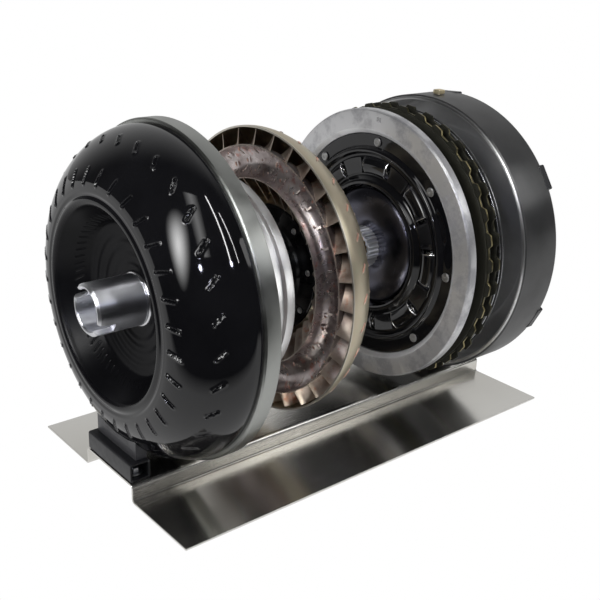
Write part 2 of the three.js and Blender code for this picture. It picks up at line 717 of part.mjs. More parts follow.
// ---- Cover --------------------------------------------------------------------------------------
// Drum with its pilot and the lugs that bolt to the engine; the hole at the top takes the plug.
function coverDrum() {
  const { radius, bore, front, rear, floor } = COVER;
  const hubFront = floor - 8;
  const step = 4;
  const inside = [[PILOT.bore, hubFront], [32, hubFront], [38, floor], [114, floor], [117, floor - step]];
  const shell = turned([
    [bore, front + 1.5],
    [bore + 1.5, front],
    [radius - 1, front],
    [radius, front + 1],
    [radius, rear - 3],
    [radius - 3, rear],
    [PILOT.radius, rear],
    [PILOT.radius, PILOT.rear],
    [PILOT.bore, PILOT.rear],
    ...inside,
    [bore, floor - step],
  ]);
  const { count, width, inner, outer, phase } = LUG;
  const length = LUG.rear - LUG.front;
  const lug = () => box(width, length, outer - inner, [0, LUG.front + length / 2, (inner + outer) / 2]);
  const hole = post(PLUG.neck + GAP, bore - 1, radius + 1, 0, PLUG.station);
  return cut(joined([shell, ...roundTheAxis(count, 90 - phase, lug)]), [hole]);
}

// Square-headed plug, its neck in the drum wall.
function drainPlug() {
  const { station, side, height, neck } = PLUG;
  const seat = COVER.radius + GAP;
  const head = box(side, side, height, [0, station, seat + height / 2]);
  return joined([post(neck, COVER.bore + 1, seat + 1, 0, station), head]);
}

function buildCover() {
  const group = shaftGroup();
  addTo(group, "cover_drum", coverDrum(), FINISH.graphite());
  addTo(group, "cover_bush", sleeve(COVER_BUSH), FINISH.bronze());
  addTo(group, "drain_plug", drainPlug(), FINISH.brass());
}

buildStand();
buildPump();
buildStator();
buildTurbine();
buildDamper();
buildDamperHub();
buildDiscs();
buildPiston();
buildCover();

export default converter;
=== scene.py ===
"""Fine meshes and procedural finishes for a torque converter spread out on a display stand.

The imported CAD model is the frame: the place and the outer sizes of each piece are read from its nodes, and
the finer shape in between is drawn here. Lengths are in millimetres until mesh_piece() turns them into
metres. Y runs along the arbor from the pump hub to the cover, X is to the right and Z is up. Angles go
round the arbor from +X towards +Z, in degrees.
"""
import math

import bmesh
import bpy
import numpy as np
from mathutils import Matrix, Vector


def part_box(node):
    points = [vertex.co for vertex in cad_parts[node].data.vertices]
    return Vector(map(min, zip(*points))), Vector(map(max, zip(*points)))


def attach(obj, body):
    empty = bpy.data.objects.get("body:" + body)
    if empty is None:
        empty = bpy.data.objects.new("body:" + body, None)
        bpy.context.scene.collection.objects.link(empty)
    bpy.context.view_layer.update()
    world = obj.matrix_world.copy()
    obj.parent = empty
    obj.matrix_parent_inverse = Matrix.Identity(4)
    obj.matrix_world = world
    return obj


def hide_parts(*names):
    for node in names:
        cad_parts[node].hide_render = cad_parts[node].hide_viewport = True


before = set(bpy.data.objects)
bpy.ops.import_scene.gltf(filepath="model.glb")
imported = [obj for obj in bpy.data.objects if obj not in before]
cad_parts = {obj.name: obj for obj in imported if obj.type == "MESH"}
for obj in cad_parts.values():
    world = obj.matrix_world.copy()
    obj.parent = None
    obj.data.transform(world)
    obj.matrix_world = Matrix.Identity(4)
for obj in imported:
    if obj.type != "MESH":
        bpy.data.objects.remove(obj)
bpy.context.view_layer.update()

MM = 0.001
STEPS = 192  # facets round a large turned piece
SMALL_STEPS = 96
BOLT_TURN = np.radians(np.arange(0, 360, 7.5))  # angles of a bolt's facets
VANES = 31  # in each of the two vaned wheels
BLADES = 13  # in the stator
RIVETS = 8
RIVET_PITCH = 360 / RIVETS
RIVET_PHASE = 43  # first rivet and spring of the damper
TEETH = 36  # round a clutch plate
LUGS = 6
LUG_PHASE = 34
HUB_RADIUS = 23.0  # pump hub tube
HUB_NOTCH = {"angles": (-35, 145), "half_width": 5.0, "depth": 16.0}
CORE_BORE, CORE_RADIUS = 89.5, 118.0  # core ring of a vaned wheel
SOFTNESS = 1.2  # power that squares off the section of the torus shells
NOTCH_COLUMNS, LAND_COLUMNS = 9, 40  # columns of the hub's mesh in a notch and between notches
WINDOW = {"low": 75.0, "high": 91.0, "half_angle": 14.0}  # spring windows of the damper plate
# The lip entry of HOOD is the radius of the polished rims at the hood ends, which are painted highlights.
HOOD = {"half_angle": 10.6, "rise": 3.6, "sheet": 1.4, "lip": 0.62}  # hoods over the springs
DRUM_RADIUS, DRUM_BORE = 149.0, 143.5
DISH_EDGE = (85, 93)  # the pump shell's paint turns from dull to glossy between these radii
TABLE_GLOW = 0.75  # brightness of the table, the room and the backdrop as the object sees them
ROOM_GLOW = 0.05
BACKDROP_GLOW = 0.75
BACKDROP_AT = (-0.68, 0.66, 0.33)
WINDOW_LAYERS, BAND_LAYERS = 14, 6  # lamps that make up one soft-edged light
BRAZE_SEED = 7


# ---- Reading the frame --------------------------------------------------------------------------
def box(node):
    """Lowest and highest corner of a CAD node, in millimetres."""
    low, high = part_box(node)
    return np.array(low) / MM, np.array(high) / MM


AXIS = float(sum(corner[2] for corner in box("arbor")) / 2)


def vertices(node):
    """All vertices of a CAD node, in millimetres."""
    return np.array([v.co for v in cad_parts[node].data.vertices]) / MM


def span(node):
    """(bore, radius, front, rear) of a CAD node that is round about the arbor."""
    points = vertices(node)
    reach = np.hypot(points[:, 0], points[:, 2] - AXIS)
    return reach.min(), reach.max(), points[:, 1].min(), points[:, 1].max()


# ---- Outlines -----------------------------------------------------------------------------------
def rounded(outline, radius, steps=3, closed=True):
    """The outline with each corner replaced by a short arc."""
    points = [Vector(p) for p in outline]
    count = len(points)
    result = []
    for i, corner in enumerate(points):
        if not closed and i in (0, count - 1):
            result.append(tuple(corner))
            continue
        back = points[i - 1] - corner
        ahead = points[(i + 1) % count] - corner
        reach = min(radius, 0.45 * back.length, 0.45 * ahead.length)
        start = corner + back.normalized() * reach
        end = corner + ahead.normalized() * reach
        for k in range(steps + 1):
            t = k / steps
            result.append(tuple(start * (1 - t) ** 2 + corner * 2 * t * (1 - t) + end * t * t))
    return result


def smooth_curve(points, samples):
    """A Catmull-Rom curve through the points."""
    points = np.array(points, float)
    padded = np.vstack([2 * points[0] - points[1], points, 2 * points[-1] - points[-2]])
    result = []
    for t in np.linspace(0, len(points) - 1, samples):
        i = min(int(t), len(points) - 2)
        f = t - i
        a, b, c, d = padded[i:i + 4]
        result.append(0.5 * (2 * b + (c - a) * f + (2 * a - 5 * b + 4 * c - d) * f * f
                             + (3 * b - a - 3 * c + d) * f ** 3))
    return np.array(result)


def even_steps(points, samples):
    """The polyline resampled at even distances."""
    points = np.array(points, float)
    length = np.concatenate([[0], np.cumsum(np.linalg.norm(np.diff(points, axis=0), axis=1))])
    at = np.linspace(0, length[-1], samples)
    return np.stack([np.interp(at, length, points[:, k]) for k in (0, 1)], 1)


def normals(points):
    """Unit normals of a polyline, to the left of its direction."""
    run = np.gradient(np.array(points, float), axis=0)
    run /= np.linalg.norm(run, axis=1)[:, None]
    return np.stack([-run[:, 1], run[:, 0]], 1)


def pressing(path, thickness):
    """Closed outline of a sheet: the path, and the path moved sideways."""
    path = np.array(path, float)
    return np.vstack([path, (path + normals(path) * thickness)[::-1]])


# ---- Meshes -------------------------------------------------------------------------------------
def grid_faces(rows, columns, closed_rows, closed_columns):
    """Quads of a grid of vertices."""
    i = np.arange(rows if closed_rows else rows - 1)[:, None]
    j = np.arange(columns if closed_columns else columns - 1)[None, :]
    i2, j2 = (i + 1) % rows, (j + 1) % columns
    corners = [i * columns + j, i2 * columns + j, i2 * columns + j2, i * columns + j2]
    return np.stack(corners, -1).reshape(-1, 4).tolist()


def round_points(radius, y, turn, centre=AXIS):
    """Points round an axis along Y, which lies at a height."""
    return np.stack([radius * np.cos(turn), y + 0 * turn, centre + radius * np.sin(turn)], -1)


def lathe(outline, steps=STEPS, angles=None):
    """A closed outline turned about the arbor. A row is (radius, y) or (radius, y, angles), and each
    value may be one number or one number for each angle."""
    around = np.arange(steps) * 360 / steps if angles is None else np.array(angles, float)
    grid = []
    for row in outline:
        turn = np.radians(row[2] if len(row) > 2 else around)
        grid.append(round_points(row[0], row[1], turn))
    grid = np.array(grid)
    return grid.reshape(-1, 3), grid_faces(grid.shape[0], grid.shape[1], True, True)


def slab(grid_a, grid_b):
    """A closed slab between two matching grids of points."""
    rows, columns = grid_a.shape[:2]
    count = rows * columns
    faces = grid_faces(rows, columns, False, False)
    faces += [[v + count for v in reversed(face)] for face in faces]
    edge = [(0, j) for j in range(columns)] + [(i, columns - 1) for i in range(1, rows)]
    edge += [(rows - 1, j) for j in range(columns - 2, -1, -1)] + [(i, 0) for i in range(rows - 2, 0, -1)]
    ring = [i * columns + j for i, j in edge]
    for a, b in zip(ring, ring[1:] + ring[:1]):
        faces.append([b, a, a + count, b + count])
    return np.vstack([grid_a.reshape(-1, 3), grid_b.reshape(-1, 3)]), faces


def extruded(outline, front, rear):
    """An outline in X and Z carried along Y."""
    count = len(outline)
    points = [(x, y, z) for y in (front, rear) for x, z in outline]
    faces = [list(range(count)), list(range(2 * count - 1, count - 1, -1))]
    faces += [[i, (i + 1) % count, (i + 1) % count + count, i + count] for i in range(count)]
    return np.array(points), faces


def block(low, high):
    """A box between two corners."""
    outline = [(low[0], low[2]), (high[0], low[2]), (high[0], high[2]), (low[0], high[2])]
    return extruded(outline, low[1], high[1])


def spun(outline, steps):
    """An open outline of (radius, y), starting and ending on its own axis, turned about Y."""
    turn = np.arange(steps) * 2 * math.pi / steps
    grid = np.array([round_points(r, y, turn, 0) for r, y in outline])
    return grid.reshape(-1, 3), grid_faces(len(outline), steps, False, True)


def tube(points, radius, sides=8):
    """A round wire along a path, closed at both ends."""
    points = np.array(points, float)
    run = np.gradient(points, axis=0)
    run /= np.linalg.norm(run, axis=1)[:, None]
    up = np.cross(run, np.cross([0.02, 1, 0.03], run))
    up /= np.linalg.norm(up, axis=1)[:, None]
    side = np.cross(run, up)
    turn = np.arange(sides) * 2 * math.pi / sides
    rings = [p + radius * (np.cos(turn)[:, None] * u + np.sin(turn)[:, None] * s)
             for p, u, s in zip(points, up, side)]
    faces = grid_faces(len(points), sides, False, True)
    last = (len(points) - 1) * sides
    faces += [list(range(sides)), list(range(last + sides - 1, last - 1, -1))]
    return np.vstack(rings), faces


def lump(length, width, height, rows=8, columns=14):
    """An ellipsoid, its length along X, its width along Z and its height along Y."""
    tilt = np.linspace(-math.pi / 2, math.pi / 2, rows)
    outline = [(math.cos(t), math.sin(t)) for t in tilt]
    points, faces = spun(outline, columns)
    return points * np.array([length, height, width]) / 2, faces


def moved(part, matrix):
    """The part carried by a 4x4 matrix."""
    points, faces = part
    m = np.array(matrix)
    return points @ m[:3, :3].T + m[:3, 3], faces


def placed(part, angle, radius=0.0, y=0.0):
    """A part drawn with X outwards, Z round the arbor and Y along it, put at an angle."""
    turn = Matrix.Translation((0, 0, AXIS)) @ Matrix.Rotation(-math.radians(angle), 4, "Y")
    return moved(part, turn @ Matrix.Translation((radius, y, 0)))


def joined(parts):
    """One list of vertices and faces from many."""
    points, faces, start = [], [], 0
    for part_points, part_faces in parts:
        points.append(part_points)
        faces += [[v + start for v in face] for face in part_faces]
        start += len(part_points)
    return np.vstack(points), faces


def mesh_piece(name, part, body, material, node=None, crease=32, bevel=0.0):
    """Makes the Blender object, smooth except at creases, and lets it ride on its body. It takes the
    place of a CAD node where one is given."""
    points, faces = part
    mesh = bpy.data.meshes.new(name)
    mesh.from_pydata((np.array(points) * MM).tolist(), [], faces)
    shape = bmesh.new()
    shape.from_mesh(mesh)
    bmesh.ops.remove_doubles(shape, verts=shape.verts, dist=1e-7)
    bmesh.ops.recalc_face_normals(shape, faces=shape.faces)
    for face in shape.faces:
        face.smooth = True
    limit = math.radians(crease)
    for edge in shape.edges:
        edge.smooth = len(edge.link_faces) == 2 and edge.calc_face_angle(0) < limit
    shape.to_mesh(mesh)
    shape.free()
    piece = bpy.data.objects.new(name, mesh)
    bpy.context.scene.collection.objects.link(piece)
    mesh.materials.append(material)
    if bevel:
        soften(piece, bevel, crease)
    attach(piece, body)
    if node:
        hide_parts(node)
    return piece


def soften(piece, width, crease=32):
    """Rounds the sharp edges of a piece."""
    bevel = piece.modifiers.new("edges", "BEVEL")
    bevel.width = width * MM
    bevel.segments = 2
    bevel.limit_method = "ANGLE"
    bevel.angle_limit = math.radians(crease)
    bevel.harden_normals = True


# ---- Finishes -----------------------------------------------------------------------------------
class Finish:
    """A node material being put together."""

    def __init__(self, name):
        self.material = bpy.data.materials.new(name)
        self.material.use_nodes = True
        self.tree = self.material.node_tree
        self.shader = self.tree.nodes["Principled BSDF"]
        self.place = self.node("ShaderNodeTexCoord").outputs["Object"]

    def node(self, kind, **settings):
        made = self.tree.nodes.new(kind)
        for key, value in settings.items():
            setattr(made, key, value)
        return made

    def put(self, target, value):
        """Links a socket, or sets a plain value."""
        if isinstance(value, bpy.types.NodeSocket):
            self.tree.links.new(value, target)
        elif isinstance(value, tuple) and len(value) == 3 and target.type == "RGBA":
            target.default_value = (*value, 1)
        else:
            target.default_value = value

    def set(self, **inputs):
        for name, value in inputs.items():
            self.put(self.shader.inputs[name.replace("_", " ")], value)
        return self

    def math(self, operation, a, b=0.0):
        made = self.node("ShaderNodeMath", operation=operation)
        self.put(made.inputs[0], a)
        self.put(made.inputs[1], b)
        return made.outputs[0]

    def stretched(self, x, y, z):
        made = self.node("ShaderNodeVectorMath", operation="MULTIPLY")
        self.put(made.inputs[0], self.place)
        made.inputs[1].default_value = (x, y, z)
        return made.outputs[0]

    def noise(self, scale, detail=4.0, vector=None, roughness=0.55):
        made = self.node("ShaderNodeTexNoise")
        self.put(made.inputs["Vector"], vector or self.place)
        made.inputs["Scale"].default_value = scale
        made.inputs["Detail"].default_value = detail
        made.inputs["Roughness"].default_value = roughness
        return made.outputs["Fac"]

    def span(self, value, low, high, to_low=0.0, to_high=1.0):
        """The value carried from one range to another, and held inside it."""
        made = self.node("ShaderNodeMapRange")
        for index, item in enumerate((value, low, high, to_low, to_high)):
            self.put(made.inputs[index], item)
        return made.outputs[0]

    def blend(self, factor, first, second):
        made = self.node("ShaderNodeMix", data_type="RGBA")
        self.put(made.inputs[0], factor)
        self.put(made.inputs[6], first)
        self.put(made.inputs[7], second)
        return made.outputs[2]

    def reach(self):
        """Distance from the arbor line, and Y, in metres."""
        parts = self.node("ShaderNodeSeparateXYZ")
        self.put(parts.inputs[0], self.place)
        height = self.math("SUBTRACT", parts.outputs[2], AXIS * MM)
        squares = [self.math("MULTIPLY", v, v) for v in (parts.outputs[0], height)]
        return self.math("SQRT", self.math("ADD", *squares)), parts.outputs[1]

    def grooves(self, scale=1400.0):
        """Fine turning marks, which run round the arbor."""
        radius, y = self.reach()
        made = self.node("ShaderNodeCombineXYZ")
        self.put(made.inputs[0], radius)
        self.put(made.inputs[1], y)
        return self.noise(scale, 2.0, made.outputs[0])

    def wear(self, low=0.52, high=0.6):
        """1 on outside edges, 0 on flats."""
        return self.span(self.node("ShaderNodeNewGeometry").outputs["Pointiness"], low, high)

    def bump(self, height, strength, distance=0.1):
        made = self.node("ShaderNodeBump")
        self.put(made.inputs["Height"], height)
        made.inputs["Strength"].default_value = strength
        made.inputs["Distance"].default_value = distance * MM
        self.put(self.shader.inputs["Normal"], made.outputs[0])
        return self

    def brushed(self, amount, direction="RADIAL"):
        """Stretched highlights: across the turning marks, or across brushing along Y."""
        if direction == "RADIAL":
            tangent = self.node("ShaderNodeTangent", direction_type="RADIAL", axis="Y").outputs[0]
        else:
            tangent = self.node("ShaderNodeCombineXYZ")
            tangent.inputs[1].default_value = 1
            tangent = tangent.outputs[0]
        self.put(self.shader.inputs["Tangent"], tangent)
        return self.set(Anisotropic=amount, Anisotropic_Rotation=0.25)


def paint(name, color, roughness, coat, peel=0.03, dull_dish=False):
    """Sprayed paint: orange peel, faint dust and lighter edges. Inside a dish it can be thin and dull."""
    made = Finish(name)
    cloud = made.noise(22, 5)
    edge = made.wear(0.53, 0.62)
    base = made.blend(made.span(cloud, 0.3, 0.7), color, tuple(c * 1.5 + 0.002 for c in color))
    made.set(Base_Color=made.blend(made.math("MULTIPLY", edge, 0.35), base, (0.16, 0.16, 0.17)))
    made.set(Roughness=made.span(made.noise(140, 6), 0.35, 0.75, roughness, roughness * 1.6))
    made.set(Coat_Weight=coat, Coat_Roughness=0.05, Specular_IOR_Level=0.25 * (1 - coat))
    if dull_dish:
        radius, _ = made.reach()
        gloss = made.span(radius, DISH_EDGE[0] * MM, DISH_EDGE[1] * MM)
        made.set(Coat_Weight=made.span(gloss, 0, 1, 0.3, 1.0))
        made.set(Coat_Roughness=made.span(gloss, 0, 1, 0.3, 0.05))
    return made.bump(made.noise(420, 2), peel).material


def metal(name, color, roughness, turned=0.0, grain=0.06, tint=None, spread=0.18):
    """Bare metal: turning marks, smudges and brighter edges."""
    made = Finish(name)
    darker = tuple(c * (1 - spread) for c in color)
    cloud = made.span(made.noise(30, 6), 0.35, 0.65)
    base = made.blend(cloud, darker, color)
    if tint:
        base = made.blend(made.span(made.noise(55, 5, roughness=0.7), 0.52, 0.7), base, tint)
    marks = made.grooves() if turned else made.noise(600, 3)
    edge = made.math("MULTIPLY", made.wear(), 0.5)
    made.set(Metallic=1.0, Base_Color=made.blend(edge, base, (0.9, 0.9, 0.88)))
    smudge = made.span(made.noise(60, 6), 0.3, 0.7, roughness * 0.8, roughness * 1.2)
    made.set(Roughness=made.math("ADD", smudge, made.math("MULTIPLY", marks, roughness * 0.25)))
    if turned:
        made.brushed(turned)
    return made.bump(marks, grain, 0.05).material


def stainless():
    """Brushed sheet, its grain along the stand, with smears and a warm cast."""
    made = Finish("stainless_sheet")
    grain = made.noise(1, 3, made.stretched(1800, 12, 1800))
    smear = made.noise(1, 3, made.stretched(5, 9, 5))
    base = made.blend(made.span(smear, 0.3, 0.7), (0.62, 0.60, 0.55), (0.74, 0.72, 0.67))
    base = made.blend(made.math("MULTIPLY", grain, 0.2), base, (0.45, 0.44, 0.41))
    made.set(Metallic=1.0, Base_Color=made.blend(made.wear(), base, (0.9, 0.89, 0.86)))
    rough = made.span(smear, 0.3, 0.7, 0.14, 0.22)
    made.set(Roughness=made.math("ADD", rough, made.math("MULTIPLY", grain, 0.1)))
    made.brushed(0.6, "ALONG")
    return made.bump(grain, 0.05, 0.03).material


def mottled_ring():
    """Turned steel with dull patches left by the friction lining, and a painted highlight on the inner
    bevel.
    """
    made = Finish("damper_ring_steel")
    radius, _ = made.reach()
    patch = made.span(made.noise(38, 7, roughness=0.68), 0.46, 0.6)
    base = made.blend(patch, (0.66, 0.66, 0.67), (0.46, 0.46, 0.48))
    # Painted highlight: the inner bevel, inside 120.6 mm, is lightened all round.
    inner = made.span(radius, 0.1212, 0.1206)
    base = made.blend(made.math("MULTIPLY", inner, 0.6), base, (0.85, 0.85, 0.86))
    made.set(Metallic=0.75, Base_Color=made.blend(made.wear(), base, (0.85, 0.85, 0.85)))
    made.set(Roughness=made.span(patch, 0, 1, 0.36, 0.52))
    made.brushed(0.5)
    return made.bump(made.grooves(900), 0.08, 0.05).material


def drum_steel():
    """Dark phosphated outside, turned metal inside, bare metal along the rim."""
    made = Finish("graphite_steel")
    radius, y = made.reach()
    inside = made.span(radius, (DRUM_BORE + 1.2) * MM, (DRUM_BORE + 0.8) * MM)
    rim_at = span("cover_drum")[2] * MM
    rim = made.span(y, rim_at + 0.0009, rim_at + 0.0006)
    cloud = made.span(made.noise(24, 6), 0.35, 0.65)
    outer = made.blend(cloud, (0.06, 0.06, 0.06), (0.085, 0.085, 0.085))
    inner = made.blend(cloud, (0.46, 0.46, 0.46), (0.60, 0.60, 0.60))
    base = made.blend(rim, made.blend(inside, outer, inner), (0.8, 0.8, 0.8))
    made.set(Metallic=made.math("MAXIMUM", made.span(inside, 0, 1, 0.5, 0.8), rim))
    made.set(Base_Color=made.blend(made.math("MULTIPLY", made.wear(), 0.5), base, (0.7, 0.7, 0.7)))
    made.set(Roughness=made.math("ADD", made.span(inside, 0, 1, 0.26, 0.42),
                                 made.math("MULTIPLY", made.noise(60, 6), 0.1)))
    made.brushed(0.8)
    return made.bump(made.grooves(1100), 0.07, 0.05).material


def brazed(name, dark, light, spot, roughness):
    """Steel heated in a brazing furnace: brown stains and copper runs."""
    made = Finish(name)
    stain = made.span(made.noise(26, 6, roughness=0.62), 0.36, 0.64)
    run = made.span(made.noise(70, 5, roughness=0.7), 0.56, 0.68)
    base = made.blend(stain, dark, light)
    base = made.blend(run, base, spot)
    edge = made.math("MULTIPLY", made.wear(), 0.6)
    made.set(Metallic=0.9, Base_Color=made.blend(edge, base, (0.75, 0.66, 0.55)))
    made.set(Roughness=made.span(made.noise(120, 5), 0.3, 0.7, roughness, roughness * 1.8))
    return made.bump(made.noise(500, 3), 0.08, 0.05).material


def friction_plate(name, dull, bright):
    """Olive black paper on the faces and tinted bare metal round the edge."""
    made = Finish(name)
    parts = made.node("ShaderNodeSeparateXYZ")
    made.put(parts.inputs[0], made.node("ShaderNodeNewGeometry").outputs["Normal"])
    edge = made.span(made.math("ABSOLUTE", parts.outputs[1]), 0.9, 0.6)
    fibre = made.noise(900, 6, roughness=0.75)
    face = made.blend(fibre, (0.008, 0.008, 0.005), (0.03, 0.029, 0.018))
    gold = made.blend(made.span(made.noise(40, 5), 0.42, 0.62), dull, bright)
    made.set(Base_Color=made.blend(edge, face, gold), Metallic=made.math("MULTIPLY", edge, 0.9))
    made.set(Roughness=made.span(edge, 0, 1, 0.62, 0.34))
    return made.bump(fibre, 0.25, 0.1).material


def lining():
    """Paper friction lining with its fibres."""
    made = Finish("friction_lining")
    fibre = made.noise(800, 7, roughness=0.8)
    cloud = made.span(made.noise(40, 4), 0.4, 0.65)
    face = made.blend(fibre, (0.007, 0.007, 0.004), (0.034, 0.032, 0.02))
    made.set(Base_Color=made.blend(made.math("MULTIPLY", cloud, 0.4), face, (0.02, 0.02, 0.012)))
    made.set(Roughness=made.span(fibre, 0.3, 0.7, 0.42, 0.7))
    return made.bump(fibre, 0.3, 0.1).material


def rubber():
    """Matt moulded rubber."""
    made = Finish("seal_rubber")
    speck = made.noise(700, 5)
    made.set(Base_Color=made.blend(speck, (0.008, 0.008, 0.008), (0.024, 0.024, 0.025)), Roughness=0.7)
    return made.bump(speck, 0.15, 0.05).material


GLOSS_BLACK = paint("gloss_black", (0.004, 0.004, 0.005), 0.12, 1.0)
SHELL_BLACK = paint("gloss_black_shell", (0.004, 0.004, 0.005), 0.12, 1.0, dull_dish=True)
SATIN_BLACK = paint("satin_black", (0.005, 0.005, 0.006), 0.30, 0.2, 0.08)
GRAPHITE = drum_steel()
STAINLESS = stainless()
MACHINED = metal("machined_steel", (0.42, 0.43, 0.41), 0.32, turned=0.7)
ALUMINIUM = metal("cast_aluminium", (0.92, 0.92, 0.92), 0.36, turned=0.5)
POLISHED = metal("polished_steel", (0.74, 0.74, 0.78), 0.18, turned=0.8, grain=0.015, spread=0.08)
HUB_STEEL = metal("hub_steel", (0.74, 0.75, 0.80), 0.34, turned=0.9, grain=0.015, spread=0.08)
DAMPER_STEEL = mottled_ring()
ZINC = metal("zinc", (0.62, 0.63, 0.65), 0.33)
RIVET_STEEL = metal("rivet_steel", (0.46, 0.46, 0.46), 0.42, grain=0.15)
GROUND = metal("ground_steel", (0.50, 0.51, 0.53), 0.25, turned=0.4)
DARK_STEEL = metal("dark_steel", (0.12, 0.12, 0.15), 0.22, turned=0.4, spread=0.3)
SPLINE_STEEL = metal("spline_steel", (0.86, 0.88, 0.97), 0.36, turned=0.8)
SPRING_STEEL = metal("spring_steel", (0.09, 0.09, 0.10), 0.22)
BRONZE = metal("bronze", (0.50, 0.33, 0.16), 0.35, turned=0.4)
BRASS = metal("yellow_brass", (0.85, 0.68, 0.30), 0.4, tint=(0.62, 0.5, 0.2))
TAN_STEEL = metal("tan_shell", (0.60, 0.53, 0.40), 0.36, tint=(0.52, 0.50, 0.36), spread=0.12)
COPPER = metal("copper_braze", (0.86, 0.46, 0.33), 0.42, tint=(0.92, 0.66, 0.52))
VANE_STEEL = brazed("brazed_vanes", (0.30, 0.20, 0.15), (0.66, 0.57, 0.48), (0.42, 0.17, 0.10), 0.28)
CORE_STEEL = brazed("core_steel", (0.28, 0.22, 0.21), (0.84, 0.77, 0.76), (0.52, 0.25, 0.21), 0.22)
FRICTION_PLATE = friction_plate("friction_plate", (0.05, 0.045, 0.02), (0.34, 0.29, 0.15))
SEPARATOR_PLATE = friction_plate("separator_plate", (0.015, 0.015, 0.01), (0.10, 0.09, 0.05))
LINING = lining()
RUBBER = rubber()


# ---- Plain turned pieces ------------------------------------------------------------------------
def turned_ring(node, body, material, chamfer=0.5):
    """A round version of a plain CAD ring."""
    bore, radius, front, rear = span(node)
    outline = rounded([(bore, front), (radius, front), (radius, rear), (bore, rear)], chamfer)
    mesh_piece(node + "_round", lathe(outline, SMALL_STEPS), body, material, node)


def dress(node, material, bevel=0.0):
    """Keeps a CAD node and gives it a finish."""
    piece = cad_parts[node]
    piece.data.materials.clear()
    piece.data.materials.append(material)
    if bevel:
        soften(piece, bevel)


# ---- Stand --------------------------------------------------------------------------------------
def base_plate():
    """Folded sheet with rounded bends."""
    low, high = box("base_plate")
    points = vertices("base_plate")
    web = points[points[:, 2] > high[2] - 0.1][:, 0].max()
    sheet = 2.0
    half = sheet / 2
    right = [(high[0], half), (web - half, half), (web - half, high[2] - half)]
    centre = right + [(-x, z) for x, z in reversed(right)]
    path = np.array(rounded(centre, 3.5, 6, closed=False))
    outline = np.vstack([path + normals(path) * half, (path - normals(path) * half)[::-1]])
    sheet_metal = extruded(outline.tolist(), low[1], high[1])
    mesh_piece("base_plate_folded", sheet_metal, "stand", STAINLESS, "base_plate", crease=40, bevel=0.35)


def front_bracket():
    """Box tube with rounded corners, open at its ends."""
    low, high = box("front_bracket")
    wall = 2.0

    def rectangle(inset, radius):
        corners = [(low[1] + inset, low[2] + inset), (high[1] - inset, low[2] + inset),
                   (high[1] - inset, high[2] - inset), (low[1] + inset, high[2] - inset)]
        return np.array(rounded(corners, radius, 5))

    outer, inner = rectangle(0, 2.2), rectangle(wall, 1.0)
    rows = []
    for outline, x in ((outer, low[0]), (outer, high[0]), (inner, high[0]), (inner, low[0])):
        rows.append(np.column_stack([np.full(len(outline), x), outline]))
    grid = np.array(rows)
    part = (grid.reshape(-1, 3), grid_faces(4, grid.shape[1], True, True))
    mesh_piece("front_bracket_tube", part, "stand", SATIN_BLACK, "front_bracket", crease=50, bevel=0.3)


def upright(centre, rows, closed):
    """A part turned about an upright line, from rows of (radius at each angle, height)."""
    grid = np.array([np.stack([centre[0] + r * np.cos(BOLT_TURN), centre[1] + r * np.sin(BOLT_TURN),
                               z + 0 * BOLT_TURN], -1) for r, z in rows])
    return grid.reshape(-1, 3), grid_faces(len(rows), len(BOLT_TURN), closed, True)


def hexagon_bolt(node):
    """Bolt with a chamfered hexagon head and a washer face."""
    head_height = 4.0
    low, high = box(node)
    centre = (low + high) / 2
    flats = (high[0] - low[0]) / 2
    seat = high[2] - head_height
    sixth = math.pi / 3
    corner = np.cos(sixth / 2) / np.cos((BOLT_TURN + sixth / 2) % sixth - sixth / 2)
    rows = []
    for reach, z, six in ((0.0, high[2], 0), (0.62, high[2], 0), (0.84, high[2], 0), (1.0, high[2] - 0.9, 1),
                          (1.0, seat + 0.3, 1), (0.95, seat, 1), (0.52, seat, 0), (0.52, low[2] + 0.4, 0),
                          (0.46, low[2], 0), (0.0, low[2], 0)):
        rows.append((flats * reach * (corner if six else 1), z))
    part = upright(centre, rows, False)
    mesh_piece(node + "_head", part, "stand", ZINC, node, crease=25)


def washer():
    """Washer under the bracket's bolt."""
    bore = 3.4
    low, high = box("bracket_washer")
    centre = (low + high) / 2
    radius = (high[0] - low[0]) / 2
    outline = rounded([(bore, low[2]), (radius, low[2]), (radius, high[2]), (bore, high[2])], 0.3)
    part = upright(centre, outline, True)
    mesh_piece("bracket_washer_round", part, "stand", ZINC, "bracket_washer")


def arbor():
    """Long shaft with its collar, chamfered at both ends."""
    _, collar, front, rear = span("arbor")
    points = vertices("arbor")
    shaft = np.hypot(points[:, 0], points[:, 2] - AXIS)
    radius = shaft[points[:, 1] < front + 0.1].max()
    stations = points[shaft > collar - 0.1][:, 1]
    outline = [(0.01, front), (radius - 1.5, front), (radius, front + 1.5), (radius, stations.min()),
               (collar, stations.min()), (collar, stations.max()), (radius, stations.max()),
               (radius, rear - 1), (radius - 1, rear), (0.01, rear)]
    mesh_piece("arbor_shaft", lathe(rounded(outline, 0.3, 2), SMALL_STEPS), "stand", GROUND, "arbor")


def stand():
    base_plate()
    front_bracket()
    for node in ("bracket_bolt", "upright_bolt_left", "upright_bolt_right"):
        hexagon_bolt(node)
    washer()
    dress("cradle", SATIN_BLACK, 1.2)
    dress("rear_upright", SATIN_BLACK, 1.0)
    dress("arbor_nut", ZINC, 0.8)
    arbor()
    turned_ring("arbor_end_collar", "stand", ZINC, 1.0)
    for name in ("pump", "stator", "turbine", "clutch"):
        turned_ring("spacer_" + name, "stand", ZINC, 0.8)
    turned_ring("stator_inner_race", "stand", GROUND, 0.8)


# ---- Pump (impeller) ----------------------------------------------------------------------------
def torus_bulge(radius, apex, band, depth, samples):
    """Outside of a torus shell as (radius, depth): a straight band, then a soft quarter ellipse."""
    angle = np.linspace(0, math.pi / 2, samples)
    reach = apex + (radius - apex) * np.abs(np.cos(angle)) ** SOFTNESS
    return np.stack([reach, band + (depth - band) * np.sin(angle) ** SOFTNESS], 1)


